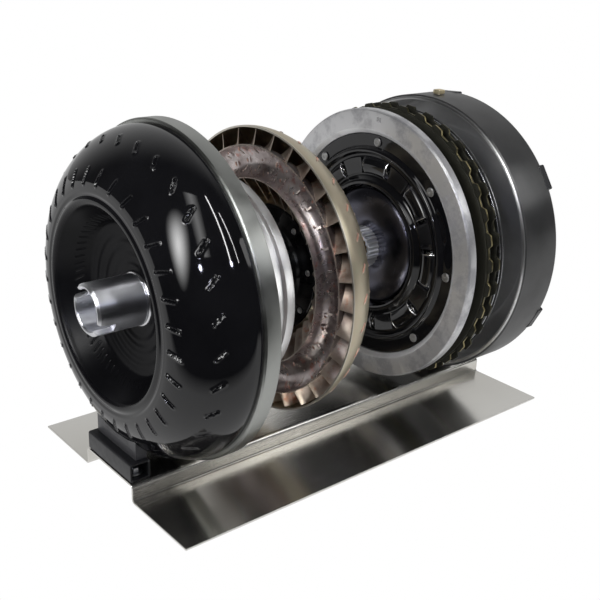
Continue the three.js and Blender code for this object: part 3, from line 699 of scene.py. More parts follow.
def dimples(radius, around, along_path, at, half_length, half_width, slant, rim, sink, dot):
    """Height of a row of stamped marks over a turned surface: a sunk slot with a raised lip, and a
    bright pip at one end."""
    pitch = 2 * math.pi / VANES
    offset = (around + pitch / 2) % pitch - pitch / 2
    u = (along_path - at)[:, None]
    v = radius[:, None] * offset[None, :]
    tilt = math.radians(slant)
    p = u * math.cos(tilt) + v * math.sin(tilt)
    q = v * math.cos(tilt) - u * math.sin(tilt)
    distance = np.hypot(np.maximum(np.abs(p) - half_length, 0), q)
    height = rim * np.exp(-(((distance - half_width) / 0.75) ** 2))
    height -= sink * np.clip(1 - distance / half_width, 0, 1) ** 0.5
    pip = np.hypot(p - half_length, q)
    return height + dot * np.exp(-((pip / 1.3) ** 2))


DISH_WALL = 74  # radius of the marks on the wall of the dish
# Rows of marks in the pump shell: radius, least share of the depth and turn in radians; then half the
# length and half the width of a mark, its slant in degrees, and the sizes of its lip, slot and pip.
SHELL_MARKS = ((138.5, 0.0, 0.0, 5.4, 1.2, -42, 0.8, 1.0, 0.9),
               (110.0, 0.7, 0.05, 6.4, 1.2, 18, 0.8, 1.0, 1.0),
               (DISH_WALL, 0.0, 0.11, 4.2, 0.9, -30, 0.2, 0.6, 0.1),
               (DISH_WALL, 0.0, 0.21, 4.2, 0.9, -30, 0.2, 0.6, 0.1))


def impeller_shell():
    """Pressed shell with its stamped vane marks: one row outside, one at the crown and a double row in
    the dish, whose floor has soft waves."""
    hub, radius, front, rear = span("impeller_shell")
    apex, lip, band = 100.0, 89.0, 5
    depth = rear - front - 1
    bulge = torus_bulge(radius, apex, band, depth, 60)
    crown = smooth_curve([(apex, depth), (97, depth + 0.2), (94.5, depth - 0.5), (91.5, depth + 0.7),
                          (lip, depth + 0.9), (86.2, depth - 0.8), (83.6, depth - 4.6), (79.5, depth - 10),
                          (DISH_WALL, depth - 17.4), (69.4, depth - 23.6), (67, depth - 26),
                          (63, depth - 27.2), (54, 27.9), (46, 26.2), (38, 25.4), (30, 23.8),
                          (hub, 23.2)], 120)
    outer = even_steps(np.vstack([[(radius, 0)], bulge, crown[1:]]), 210)
    path = np.stack([outer[:, 0], rear - outer[:, 1]], 1)
    length = np.concatenate([[0], np.cumsum(np.linalg.norm(np.diff(path, axis=0), axis=1))])
    columns = VANES * 30
    around = np.arange(columns) * 2 * math.pi / columns
    height = 0
    for reach, share, turn, *mark in SHELL_MARKS:
        at = length[np.argmin(np.abs(outer[:, 0] - reach) + (outer[:, 1] < depth * share) * 99)]
        height = height + dimples(path[:, 0], around + turn, length, at, *mark)
    wave, wave_length = 0.3, 11
    dish = np.clip((63 - path[:, 0]) / 5, 0, 1) * np.clip((path[:, 0] - 27) / 5, 0, 1)
    swirl = np.sin(path[:, 0][:, None] * 2 * math.pi / wave_length + 1.8 * np.sin(around - 0.6)[None, :])
    height = height + wave * dish[:, None] * swirl
    outward = normals(path)
    skin = path[:, :, None] + outward[:, :, None] * height[:, None, :]
    rows = [(row[0], row[1]) for row in skin]
    sheet = 2.8
    inside = (path - outward * sheet)[::-3]
    rows += [tuple(row) for row in inside]
    mesh_piece("impeller_shell_pressing", lathe(rows, columns), "impeller", SHELL_BLACK, "impeller_shell",
               crease=50)


def impeller_ring():
    """Turned weld ring with a step on the shell side."""
    bore, radius, front, rear = span("impeller_ring")
    outline = rounded([(bore, front), (radius - 1.4, front), (radius, front + 1.2), (radius, rear - 0.6),
                       (radius - 0.6, rear), (bore, rear)], 0.35)
    mesh_piece("impeller_ring_turned", lathe(outline), "impeller", MACHINED, "impeller_ring", crease=40)


def notch_angles(radius):
    """Angles of the hub's columns at a radius: those that edge a notch stay half its width from its
    middle. NOTCH_COLUMNS lie in each notch and LAND_COLUMNS between two notches."""
    angles = HUB_NOTCH["angles"]
    edge = math.degrees(math.asin(HUB_NOTCH["half_width"] / radius))
    columns = []
    for middle, after in zip(angles, angles[1:] + (angles[0] + 360,)):
        columns += list(np.linspace(middle - edge, middle + edge, NOTCH_COLUMNS))
        columns += list(np.linspace(middle + edge, after - edge, LAND_COLUMNS + 2)[1:-1])
    return np.array(columns)


def impeller_hub():
    """Hub tube with two driving notches, a chamfered lip and two shallow rings near its root."""
    bore, flange, front, rear = span("impeller_hub")
    radius = HUB_RADIUS
    notch = front + HUB_NOTCH["depth"]
    web = span("impeller_bush")[2] + 14.6
    outline = [(bore, front + 1.4), (bore + 0.9, front + 0.2), (radius - 2.2, front), (radius, front + 2.2),
               (radius, notch + 0.2), (radius, web - 7.5), (radius - 0.4, web - 7.2),
               (radius - 0.4, web - 6.4), (radius, web - 6.1), (radius, web - 5.2),
               (radius - 0.4, web - 4.9), (radius - 0.4, web - 4.3), (radius, web - 4),
               (radius, web - 0.8), (flange, web + 0.4),
               (flange, web + 4.4), (radius + 3, web + 6.4), (radius + 3, rear), (bore, rear),
               (bore, notch + 0.2)]
    group = [True] * NOTCH_COLUMNS + [False] * LAND_COLUMNS
    inside = np.array(group * len(HUB_NOTCH["angles"]))
    rows = [(r, np.where(inside & (y < notch), notch, y), notch_angles(min(r, radius))) for r, y in outline]
    return mesh_piece("impeller_hub_polished", lathe(rows, angles=rows[0][2]), "impeller", HUB_STEEL,
                      "impeller_hub", crease=35)


def hub_weld():
    """Rounded weld bead where the hub meets the shell."""
    web = span("impeller_bush")[2] + 11.2
    turn = np.linspace(0, math.pi, 9)
    outline = [(HUB_RADIUS + 0.15 + 2.4 * math.sin(t), web - 2.2 * math.cos(t)) for t in turn]
    mesh_piece("impeller_hub_weld", lathe(outline, SMALL_STEPS), "impeller", POLISHED)


# ---- Vanes --------------------------------------------------------------------------------------
def vane_grid(shell, core, twist):
    """Middle surface of one vane as (radius, depth, angle), from the shell to the core ring."""
    radius, apex, depth, eye = shell
    rows = []
    for psi in np.linspace(0.02, math.pi - 0.02, 25):
        soft = abs(math.cos(psi)) ** SOFTNESS
        rise = math.sin(psi) ** SOFTNESS
        outer_side = psi < math.pi / 2
        far = (apex + (radius - apex) * soft, 1.5 + (depth - 1.5) * rise) if outer_side else \
              (apex + (eye - apex) * soft, 14 + (depth - 14) * rise)
        near = (core[0] + core[1] * math.cos(psi), -1.5 + core[2] * math.sin(psi))
        row = []
        for t in np.linspace(0, 1, 5):
            r, d = (far[k] * (1 - t) + near[k] * t for k in (0, 1))
            row.append((r, d, twist(psi)))
        rows.append(row)
    return np.array(rows)


def vane_set(grid, rim, sign, thickness=0.9):
    """All the vanes of one wheel; depth runs from the rim station in the direction of sign."""
    def surface(side):
        radius, depth, angle = grid[..., 0], grid[..., 1], np.radians(grid[..., 2])
        angle = angle + side * thickness / 2 / radius
        return round_points(radius, rim + sign * depth, angle, 0)

    vane = slab(surface(1), surface(-1))
    return [placed(vane, i * 360 / VANES) for i in range(VANES)]


def core_ring(rim, sign):
    """Pressed half-round core ring with rolled lips, open towards the other wheel."""
    bore, radius = CORE_BORE, CORE_RADIUS
    middle, half = (bore + radius) / 2, (radius - bore) / 2
    turn = np.linspace(0, math.pi, 26)
    path = [(middle + half * math.cos(t), -1 + 13.5 * math.sin(t) ** 0.8) for t in turn]
    path = [(radius + 0.2, -1.9)] + path + [(bore - 0.2, -1.9)]
    outline = pressing(path, -1.3)
    return lathe([(r, rim + sign * d) for r, d in outline], VANES * 6)


def core_tabs(rim, sign):
    """Ends of the vane tabs, bent over inside the core ring."""
    tabs = []
    for radius, depth, tilt in ((112.0, 7.0, -48), (97.5, 8.4, 38)):
        turn = Matrix.Rotation(math.radians(sign * tilt), 4, "Z")
        tab = moved(block((-2.6, -0.4, -1.1), (2.6, 0.4, 1.1)), turn)
        for i in range(VANES):
            tabs.append(placed(tab, (i + 0.3) * 360 / VANES, radius, rim + sign * depth))
    return tabs


def braze_spots(rim, sign):
    """Copper that has wicked out round the tabs."""
    chance = np.random.default_rng(BRAZE_SEED)
    spots = []
    for radius, depth in ((115.0, 4.2), (95.0, 6.4), (104.0, 10.6)):
        for i in range(VANES):
            size = chance.uniform(1.2, 3.4)
            bead = lump(size * chance.uniform(1, 2), size, 1.0, 6, 8)
            angle = (i + chance.uniform(0.1, 0.5)) * 360 / VANES
            spots.append(placed(bead, angle, radius, rim + sign * depth))
    return spots


def wheel_inside(name, shell, rim, sign, entry, leave):
    """Vanes, core ring, tabs and braze of one wheel. The vanes lean by the angle `entry` between the
    rim and the deepest point, and by `leave` from there to the eye."""
    body = name
    core = ((CORE_RADIUS + CORE_BORE) / 2, (CORE_RADIUS - CORE_BORE) / 2 + 0.6, 14.5)

    def twist(psi):
        remaining = (1 - abs(math.sin(psi)) ** SOFTNESS) ** 1.8
        return entry * (1 - remaining) if psi < math.pi / 2 else entry + leave * remaining

    vanes = joined(vane_set(vane_grid(shell, core, twist), rim, sign))
    mesh_piece(name + "_vanes_formed", vanes, body, VANE_STEEL, name + "_vanes", crease=40)
    mesh_piece(name + "_core_ring", core_ring(rim, sign), body, CORE_STEEL, crease=40)
    mesh_piece(name + "_core_tabs", joined(core_tabs(rim, sign)), body, CORE_STEEL, crease=30, bevel=0.2)
    mesh_piece(name + "_braze_spots", joined(braze_spots(rim, sign)), body, COPPER)


def impeller():
    impeller_shell()
    impeller_ring()
    hub = impeller_hub()
    hub_weld()
    _, radius, front, _ = span("impeller_shell")
    rim = span("impeller_ring")[3]
    wheel_inside("impeller", (radius - 4.5, 100.0, rim - front - 5.5, 66.0), rim, -1, -6, 8)
    turned_ring("impeller_bush", "impeller", BRONZE)
    return hub


# ---- Stator -------------------------------------------------------------------------------------
def stator_blade(inner, outer, middle):
    """A twisted aerofoil from the hub to the rim."""
    rows = []
    for share in np.linspace(0, 1, 7):
        chord = 27.0 + 2 * share
        t = np.concatenate([np.linspace(0, 1, 13), np.linspace(1, 0, 13)[1:-1]])
        side = np.where(np.arange(len(t)) < 13, 1.0, -1.0)
        thick = 4.6 * (1.48 * np.sqrt(t) - 0.63 * t - 1.76 * t ** 2 + 1.42 * t ** 3 - 0.51 * t ** 4)
        camber = 5.5 * np.sin(math.pi * t) - 8 * t
        y = middle - chord / 2 + chord * t
        z = camber + side * thick + 4 - 3 * share
        rows.append(np.stack([np.full(len(t), inner + (outer - inner) * share), y, z], -1))
    grid = np.array(rows)
    count = grid.shape[1]
    last = (len(rows) - 1) * count
    faces = grid_faces(len(rows), count, False, True)
    faces += [list(range(count)), list(range(last + count - 1, last - 1, -1))]
    return grid.reshape(-1, 3), faces


def stator():
    """Cast wheel: machined rim in three bands, aerofoil blades and the hub."""
    bore, radius, front, rear = span("stator_wheel")
    rim_bore, hub = 88.0, 62.0
    band = radius - 3
    outline = rounded([(rim_bore + 1, front), (band - 1, front), (band, front + 1),
                       (band, rear - 18), (band - 0.5, rear - 17.6), (band - 0.5, rear - 10.4),
                       (band, rear - 10), (radius, rear - 9), (radius, rear - 0.8),
                       (radius - 0.8, rear), (rim_bore + 1, rear), (rim_bore, rear - 1),
                       (rim_bore, front + 1)], 0.35, 2)
    hub_outline = rounded([(bore, front + 3), (hub - 1, front + 3), (hub, front + 4), (hub, rear - 4),
                           (hub - 1, rear - 3), (bore, rear - 3)], 0.5, 2)
    middle = (front + rear) / 2
    blade = stator_blade(hub - 1.5, rim_bore + 1.5, middle)
    blades = [placed(blade, i * 360 / BLADES) for i in range(BLADES)]
    wheel = joined([lathe(outline), lathe(hub_outline, 128), *blades])
    cast = mesh_piece("stator_wheel_cast", wheel, "stator", ALUMINIUM, "stator_wheel", crease=35)
    turned_ring("stator_cam", "stator", GROUND)
    for node in ("stator_front_bearing", "stator_rear_bearing"):
        turned_ring(node, "stator", ZINC)
    dress("stator_rollers", GROUND)
    return cast


# ---- Turbine ------------------------------------------------------------------------------------
def turbine_shell():
    """Pressed shell with a bright rim edge."""
    _, radius, rim, rear = span("turbine_shell")
    apex, band, sheet = 94.0, 2, 1.7
    depth = rear - rim - 1.6
    seat = 24.6
    bulge = torus_bulge(radius, apex, band, depth, 50)
    crown = smooth_curve([(apex, depth), (86, depth - 0.6), (78, depth - 4), (70, depth - 9.5),
                          (65, depth - 15), (61.5, seat + 4), (59, seat + 0.4), (50, seat)], 40)
    path = even_steps(np.vstack([[(radius, 0)], bulge, crown[1:]]), 110)
    rows = [(r, rim + d) for r, d in pressing(path, sheet)]
    mesh_piece("turbine_shell_pressing", lathe(rows, VANES * 8), "turbine", TAN_STEEL, "turbine_shell",
               crease=50)
    return path, rim


def tab_marks(path, rim):
    """Vane tabs that stand through the shell, each with its run of copper."""
    tabs, runs = [], []
    outward = normals(path)
    for target, length, slant in ((131.5, 8.5, 40), (112.0, 8.0, 24), (88.0, 7.0, -20)):
        i = int(np.argmin(np.abs(path[:, 0] - target)))
        normal = -outward[i]
        tilt = math.degrees(math.atan2(normal[1], normal[0]))
        lying = Matrix.Rotation(math.radians(tilt - 90), 4, "Z")
        pose = lying @ Matrix.Rotation(math.radians(slant), 4, "Y")
        tab = moved(block((-length / 2, -0.4, -0.45), (length / 2, 0.75, 0.45)), pose)
        bead = moved(lump(length * 1.3, 2.4, 1.3), pose @ Matrix.Translation((0.6, 0.15, 1.0)))
        hook = pose @ Matrix.Translation((-0.45 * length, 0.15, 1.6))
        tail = moved(lump(length * 0.5, 1.6, 1.1), hook @ Matrix.Rotation(math.radians(-65), 4, "Y"))
        for k in range(VANES):
            angle = (k + 0.35) * 360 / VANES
            for pieces, mark in ((tabs, tab), (runs, bead), (runs, tail)):
                pieces.append(placed(mark, angle, path[i, 0], rim + path[i, 1]))
    mesh_piece("turbine_shell_tabs", joined(tabs), "turbine", TAN_STEEL, bevel=0.15)
    mesh_piece("turbine_shell_braze", joined(runs), "turbine", COPPER)


def toothed_sleeve(tip, root, outer, front, rear, teeth):
    """A sleeve whose bore carries internal splines."""
    angles, bore = [], []
    pitch = 360 / teeth
    for i in range(teeth):
        for at, r in ((0.06, root), (0.44, root), (0.58, tip), (0.92, tip)):
            angles.append((i + at) * pitch)
            bore.append(r)
    bore = np.array(bore)
    rows = [(bore + 0.5, front), (outer - 0.6, front), (outer, front + 0.6), (outer, rear), (bore, rear),
            (bore, front + 0.5)]
    return lathe(rows, angles=angles)


def toothed_ring(bore, root, tip, front, rear, teeth):
    """A ring with rounded teeth round the outside."""
    angles = np.arange(teeth * 8) * 360 / (teeth * 8)
    edge = root + (tip - root) * (0.5 + 0.5 * np.cos(np.radians(angles * teeth))) ** 0.6
    rows = [(bore + 0.4, front), (edge - 0.4, front), (edge, front + 0.4), (edge, rear), (bore, rear),
            (bore, front + 0.4)]
    return lathe(rows, angles=angles)


def turbine_hub():
    """Black riveted plate on a splined hub."""
    bore, plate, front, rear = span("turbine_hub")
    face = front + 6
    sleeve = 26
    outline = rounded([(bore + 3, front + 0.2), (sleeve - 1.5, front), (sleeve, front + 1.4),
                       (sleeve + 1, face - 2), (31, face - 0.6), (36, face), (42, face - 0.6), (47, face),
                       (plate - 1.2, face), (plate, face + 1), (plate, face + 2.2), (46, face + 3),
                       (30, face + 9), (sleeve, face + 20), (sleeve, rear), (bore + 3, rear)], 0.6, 2)
    mesh_piece("turbine_hub_plate", lathe(outline), "turbine", GLOSS_BLACK, "turbine_hub", crease=40)
    splines = toothed_sleeve(bore + 0.3, bore + 1.6, bore + 2.8, front + 0.3, rear, 22)
    mesh_piece("turbine_hub_splines", splines, "turbine", SPLINE_STEEL, crease=25)
    head = rounded([(0.01, -1.7), (1.9, -1.6), (3.0, -0.6), (3.1, 0.4), (0.01, 0.4)], 0.5, 2, closed=False)
    rivets = [placed(spun(head, 20), 10 + i * RIVET_PITCH, 53, face) for i in range(RIVETS)]
    mesh_piece("turbine_hub_rivets", joined(rivets), "turbine", RIVET_STEEL)


def turbine():
    path, rim = turbine_shell()
    tab_marks(path, rim)
    _, radius, front, rear = span("turbine_shell")
    wheel_inside("turbine", (radius - 2.6, 94.0, rear - front - 4.6, 66.0), front, 1, 13, -13)
    turbine_hub()
    turned_ring("turbine_bush", "turbine", BRONZE)


# ---- Damper -------------------------------------------------------------------------------------
def damper_ring():
    """Thick turned ring: inner bevel, flat face and a bright outer chamfer."""
    bore, radius, front, rear = span("damper_ring")
    outline = [(bore, front + 4), (bore + 4.8, front + 0.2), (bore + 5.4, front), (radius - 1.8, front),
               (radius - 1.4, front + 0.2), (radius, front + 1.8), (radius, rear - 0.8),
               (radius - 0.8, rear), (bore + 0.6, rear), (bore, rear - 0.6)]
    turned = lathe(rounded(outline, 0.25, 2))
    mesh_piece("damper_ring_turned", turned, "damper", DAMPER_STEEL, "damper_ring", crease=18)
    mark = block((-2.2, -0.12, -1.2), (2.2, 0.3, 1.2))
    marks = [placed(mark, 86 + turn, bore + 16, front) for turn in (0, 1.4)]
    mesh_piece("damper_ring_balance_marks", joined(marks), "damper", DARK_STEEL, bevel=0.1)


def pierced_sheet(path, thickness, steps, is_open):
    """A turned sheet with openings: is_open(radius, angle) says which cells of the grid are cut out."""
    path = np.array(path, float)
    back = path + normals(path) * thickness
    turn = np.arange(steps) * 2 * math.pi / steps
    rows = len(path)

    def skin(outline):
        return round_points(outline[:, :1], outline[:, 1:], turn).reshape(-1, 3)

    middle = (path[1:, 0] + path[:-1, 0]) / 2
    angle = np.degrees(turn + math.pi / steps)
    kept = ~is_open(middle[:, None], angle[None, :])
    count = rows * steps
    faces = []
    for i in range(rows - 1):
        for j in range(steps):
            if not kept[i, j]:
                continue
            a, b = i * steps + j, (i + 1) * steps + j
            c, d = (i + 1) * steps + (j + 1) % steps, i * steps + (j + 1) % steps
            faces += [[a, b, c, d], [d + count, c + count, b + count, a + count]]
            if i == 0 or not kept[i - 1, j]:
                faces.append([a, d, d + count, a + count])
            if i == rows - 2 or not kept[i + 1, j]:
                faces.append([c, b, b + count, c + count])
            if not kept[i, j - 1]:
                faces.append([b, a, a + count, b + count])
            if not kept[i, (j + 1) % steps]:
                faces.append([d, c, c + count, d + count])
    return np.vstack([skin(path), skin(back)]), faces


def in_window(radius, angle):
    """True inside a spring window."""
    offset = (angle - RIVET_PHASE + RIVET_PITCH / 2) % RIVET_PITCH - RIVET_PITCH / 2
    inside = (radius > WINDOW["low"]) & (radius < WINDOW["high"])
    return inside & (np.abs(offset) < WINDOW["half_angle"])


def damper_plate():
    """Gloss stamping: flat rim, raised bead, dished web with spring windows under hoods, and an inner
    collar. Polished rims at the hood ends are painted highlights.
    """
    bore, radius, front, _ = span("damper_plate")
    face = front + 5
    bead = [(94.6 + 8.6 * t, face + 0.4 - 3.9 * math.sin(math.pi * t) ** 1.3) for t in np.linspace(1, 0, 14)]
    low, high = WINDOW["low"], WINDOW["high"]
    path = [(radius, face), (radius - 0.6, face - 0.1)] + bead
    path += [(high + 1.2, face + 0.5), (high + 0.3, face + 0.1), (high, face - 0.9)]
    path += [((high + low) / 2, face - 0.4), (low, face - 0.9), (low - 0.3, face + 0.1), (73.4, face + 0.5)]
    path += [(71.5, face - 0.6), (69.4, face - 3.6), (68.2, face - 4.6)]
    path += [(66.5, face - 4.9), (bore, face - 4.9)]
    sheet = pierced_sheet(path[::-1], 2.2, 360, in_window)
    mesh_piece("damper_plate_stamped", sheet, "damper", GLOSS_BLACK, "damper_plate", crease=40)
    share = np.linspace(0, 1, 13)
    reach = low - 0.6 + (high - low + 1.2) * share
    height = face - HOOD["rise"] * np.sin(math.pi * share) ** 0.7
    width = np.linspace(-HOOD["half_angle"], HOOD["half_angle"], 13)
    hoods, lips = [], []
    for i in range(RIVETS):
        turn = np.radians(RIVET_PHASE + RIVET_PITCH * i + width)
        outside = round_points(reach, height, turn[:, None])
        hoods.append(slab(outside, outside + np.array([0, HOOD["sheet"], 0])))
        # Polished rims at both ends of each hood: painted highlights on the ends of the black windows.
        for end in (0, -1):
            lips.append(tube(outside[end] + np.array([0, 0.5, 0]), HOOD["lip"]))
    mesh_piece("damper_plate_hoods", joined(hoods), "damper", GLOSS_BLACK, crease=50)
    mesh_piece("damper_plate_hood_highlight_rims", joined(lips), "damper", POLISHED)


def off_axis(node):
    """Angle and distance from the arbor of the middle of a CAD node, with its two corners."""
    low, high = box(node)
    x, _, z = (low + high) / 2
    return math.degrees(math.atan2(z - AXIS, x)), math.hypot(z - AXIS, x), low, high


def damper_springs():
    """Coil springs on their side in the windows."""
    length, coil, wire, turns = 37.0, 5.2, 1.25, 11
    t = np.linspace(0, 1, turns * 18)
    turn = 2 * math.pi * turns * t
    path = np.stack([coil * np.cos(turn), coil * np.sin(turn), (t - 0.5) * (length - 2 * wire)], -1)
    spring = tube(path, wire)
    for i in range(RIVETS):
        node = f"damper_spring_{i + 1}"
        angle, pitch, low, high = off_axis(node)
        part = placed(spring, angle, pitch, (low[1] + high[1]) / 2)
        mesh_piece(node + "_coil", part, "damper", SPRING_STEEL, node, crease=60)


def damper_rivets():
    """Round-headed rivets with a dimple in each head."""
    head, shank = 4.6, 2.6
    for i in range(RIVETS):
        node = f"damper_rivet_{i + 1}"
        angle, pitch, low, high = off_axis(node)
        face = low[1]
        outline = [(0.01, face + 0.5), (1.0, face + 0.4), (1.8, face + 0.05), (3.4, face),
                   (4.3, face + 0.35), (head, face + 0.9), (head, face + 1.6), (shank, face + 1.7),
                   (shank, high[1]), (0.01, high[1])]
        rivet = spun(rounded(outline, 0.25, 2, closed=False), 28)
        mesh_piece(node + "_head", placed(rivet, angle, pitch), "damper", RIVET_STEEL, node)


def damper_hub():
    """Dark dished hub and its bright splined sleeve."""
    bore, dome, front, rear = span("damper_hub")
    nose = front + 12
    inner, wall = 19.5, 24
    face = smooth_curve([(inner, nose + 2.2), (wall, nose + 1.8), (31, nose + 0.4), (40, nose + 0.3),
                         (48, nose + 1.6), (55, nose + 4), (59.4, nose + 6.6), (dome, nose + 9)], 36)
    back = [(dome, nose + 12), (dome - 3, nose + 12), (56, nose + 8), (46, nose + 4.6), (30, nose + 4),
            (wall, nose + 8), (wall, rear), (inner, rear)]
    dished = lathe([tuple(p) for p in face] + back)
    mesh_piece("damper_hub_dished", dished, "damper_output", DARK_STEEL, "damper_hub", crease=40)
    inside = toothed_sleeve(bore + 0.1, bore + 1.4, inner - 0.05, front, rear, 24)
    outside = toothed_ring(bore + 1.6, 20.6, 22.0, front + 0.2, nose + 2.6, 28)
    mesh_piece("damper_hub_splines", joined([inside, outside]), "damper_output", SPLINE_STEEL, crease=25)
    lining_bore, lining_radius, _, lining_rear = span("damper_hub_bush")
    outline = rounded([(lining_bore, front + 2), (lining_radius, front + 2), (lining_radius, lining_rear),
                       (lining_bore, lining_rear)], 0.5)
    mesh_piece("damper_hub_bush_round", lathe(outline, SMALL_STEPS), "damper_output", BRONZE,
               "damper_hub_bush")


def damper():
    damper_ring()
    damper_plate()
    damper_springs()
    damper_rivets()
    turned_ring("damper_drive_plate", "damper", DARK_STEEL)


# ---- Lock-up clutch -----------------------------------------------------------------------------
def toothed_disc(node, body, material):
    """Plate with stepped driving teeth."""
    bore, tip, front, rear = span(node)
    root = tip - 4
    angles, edge = [], []
    for i in range(TEETH):
        for share, r in ((0.16, root), (0.20, root + 0.5), (0.29, tip - 0.5), (0.33, tip), (0.50, tip),
                         (0.67, tip), (0.71, tip - 0.5), (0.80, root + 0.5), (0.84, root), (1.0, root)):
            angles.append((i + share) * 360 / TEETH)
            edge.append(r)
    edge = np.array(edge)
    rows = [(bore + 0.2, front), (edge - 0.25, front), (edge, front + 0.25), (edge, rear - 0.25),
            (edge - 0.25, rear), (bore + 0.2, rear), (bore, rear - 0.2), (bore, front + 0.2)]
    mesh_piece(node + "_toothed", lathe(rows, angles=angles), body, material, node, crease=30)


def friction_pack():
    toothed_disc("friction_disc", "clutch_disc", FRICTION_PLATE)
    toothed_disc("separator_plate", "separator", SEPARATOR_PLATE)
    for node in ("front_facing", "rear_facing"):
        turned_ring(node, "clutch_disc", LINING, 0.2)


def piston():
    """Dished piston, its bright edge grooved for the seal."""
    bore, radius, front, _ = span("clutch_piston")
    land, groove = front + 6, radius - 3.5
    outline = [(bore, front + 4), (106, front + 4), (109, front + 3.4), (112, front + 0.6), (115, front),
               (radius - 0.5, front), (radius, front + 0.4), (radius, front + 1.4), (groove, front + 1.5),
               (groove, front + 4.5), (radius, front + 4.6), (radius, land - 0.4), (radius - 0.5, land),
               (118, land), (110, front + 8), (bore, front + 8)]
    turned = lathe(rounded(outline, 0.3, 2))
    mesh_piece("clutch_piston_turned", turned, "piston", GROUND, "clutch_piston", crease=30)
    turned_ring("piston_seal", "piston", RUBBER, 0.7)


# ---- Cover --------------------------------------------------------------------------------------
def cover_drum():
    """Drum with a turned inside, a bright rim, the pilot and its lugs."""
    bore, _, front, _ = span("cover_drum")
    radius, wall, pilot = DRUM_RADIUS, DRUM_BORE, 21
    pilot_rear = vertices("cover_drum")[:, 1].max()
    back = pilot_rear - 8
    floor = back - 7.5
    outline = [(wall, front + 0.7), (wall + 0.7, front), (radius - 3.4, front + 0.1), (radius, front + 1.6),
               (radius, back - 3.5), (radius - 1, back - 1.2), (radius - 3.2, back), (112, back),
               (110, back - 0.8), (70, back - 0.8), (66, back), (26, back), (22, back + 1),
               (pilot, back + 3), (pilot, pilot_rear - 1), (pilot - 1, pilot_rear), (bore, pilot_rear),
               (bore, floor - 8), (31, floor - 8), (33, floor - 7), (36.5, floor - 1), (39, floor),
               (76, floor), (76.4, floor - 0.5), (78, floor - 0.5), (78.4, floor), (113, floor),
               (116, floor - 3.4), (118, floor - 4), (wall - 4, floor - 4), (wall - 1.2, floor - 5.2),
               (wall, floor - 8), (wall, front + 12), (wall - 0.4, front + 11.6), (wall - 0.4, front + 10),
               (wall, front + 9.6)]
    drum = lathe(rounded(outline, 0.4, 2), 240)
    mesh_piece("cover_drum_turned", drum, "cover", GRAPHITE, "cover_drum", crease=20)
    inner, outer, half_width = 126, radius + 0.4, 13
    lug = block((inner, back - 6, -half_width), (outer, pilot_rear - 5, half_width))
    lugs = [placed(lug, LUG_PHASE + 360 / LUGS * i) for i in range(LUGS)]
    mesh_piece("cover_lugs", joined(lugs), "cover", SATIN_BLACK, bevel=1.2)


def drain_plug():
    """Square brass head on a round neck."""
    low, high = box("drain_plug")
    station = (low[1] + high[1]) / 2
    side = (high[0] - low[0]) / 2
    foot = high[2] - 4.6
    head = block((-side, station - side, foot), (side, station + side, high[2]))
    mesh_piece("drain_plug_head", head, "cover", BRASS, "drain_plug", bevel=0.9)
    radius, length = 3.6, foot - low[2] + 0.5
    neck = spun([(0.01, 0), (radius - 0.2, 0), (radius, 0.2), (radius, length), (0.01, length)], 24)
    upright = Matrix.Translation((0, station, low[2])) @ Matrix.Rotation(math.pi / 2, 4, "X")
    mesh_piece("drain_plug_neck", moved(neck, upright), "cover", BRASS)


def cover():
    cover_drum()
    drain_plug()
    turned_ring("cover_bush", "cover", BRONZE)


# ---- Stage --------------------------------------------------------------------------------------
def page_for_camera(tree, others, page, output):
    """Shows one shader to the camera and another to every other ray."""
    seen, mix = tree.nodes.new("ShaderNodeLightPath"), tree.nodes.new("ShaderNodeMixShader")
    tree.links.new(seen.outputs["Is Camera Ray"], mix.inputs[0])
    tree.links.new(others.outputs[0], mix.inputs[1])
    tree.links.new(page.outputs[0], mix.inputs[2])
    tree.links.new(mix.outputs[0], output.inputs[0])


def floor():
    """Plain pale floor: white to the camera; to the object, a pale table with one edge close by."""
    mesh = bpy.data.meshes.new("floor")
    size, drop = 8.0, -0.0005
    mesh.from_pydata([(-size, -size, drop), (size, -size, drop), (size, size, drop), (-size, size, drop)],
                     [], [(0, 1, 2, 3)])
    plane = bpy.data.objects.new("floor", mesh)
    bpy.context.scene.collection.objects.link(plane)
    made = Finish("pale_floor")
    towards = made.node("ShaderNodeVectorMath", operation="DOT_PRODUCT")
    made.put(towards.inputs[0], made.place)
    towards.inputs[1].default_value = (0.76, -0.65, 0)
    table = made.node("ShaderNodeEmission")
    fall = made.span(towards.outputs["Value"], 0.34, 0.42, TABLE_GLOW, 0.03)
    made.put(table.inputs["Strength"], fall)
    page_for_camera(made.tree, table, made.node("ShaderNodeEmission"), made.tree.nodes["Material Output"])
    mesh.materials.append(made.material)


def surroundings():
    """White to the camera; to the object, a dark room with a pale backdrop behind and to the left."""
    world = bpy.data.worlds.new("studio")
    bpy.context.scene.world = world
    world.use_nodes = True
    tree = world.node_tree
    tree.nodes.clear()
    node, link = tree.nodes.new, tree.links.new
    place, towards = node("ShaderNodeTexCoord"), node("ShaderNodeVectorMath")
    towards.operation = "DOT_PRODUCT"
    towards.inputs[1].default_value = Vector(BACKDROP_AT).normalized()
    glow = node("ShaderNodeMapRange")
    glow.interpolation_type = "SMOOTHSTEP"
    for index, value in ((1, 0.35), (2, 0.95), (3, ROOM_GLOW), (4, BACKDROP_GLOW)):
        glow.inputs[index].default_value = value
    room, page = node("ShaderNodeBackground"), node("ShaderNodeBackground")
    page.inputs["Color"].default_value = (1, 1, 1, 1)
    link(place.outputs["Generated"], towards.inputs[0])
    link(towards.outputs["Value"], glow.inputs[0])
    link(glow.outputs[0], room.inputs["Strength"])
    page_for_camera(tree, room, page, node("ShaderNodeOutputWorld"))


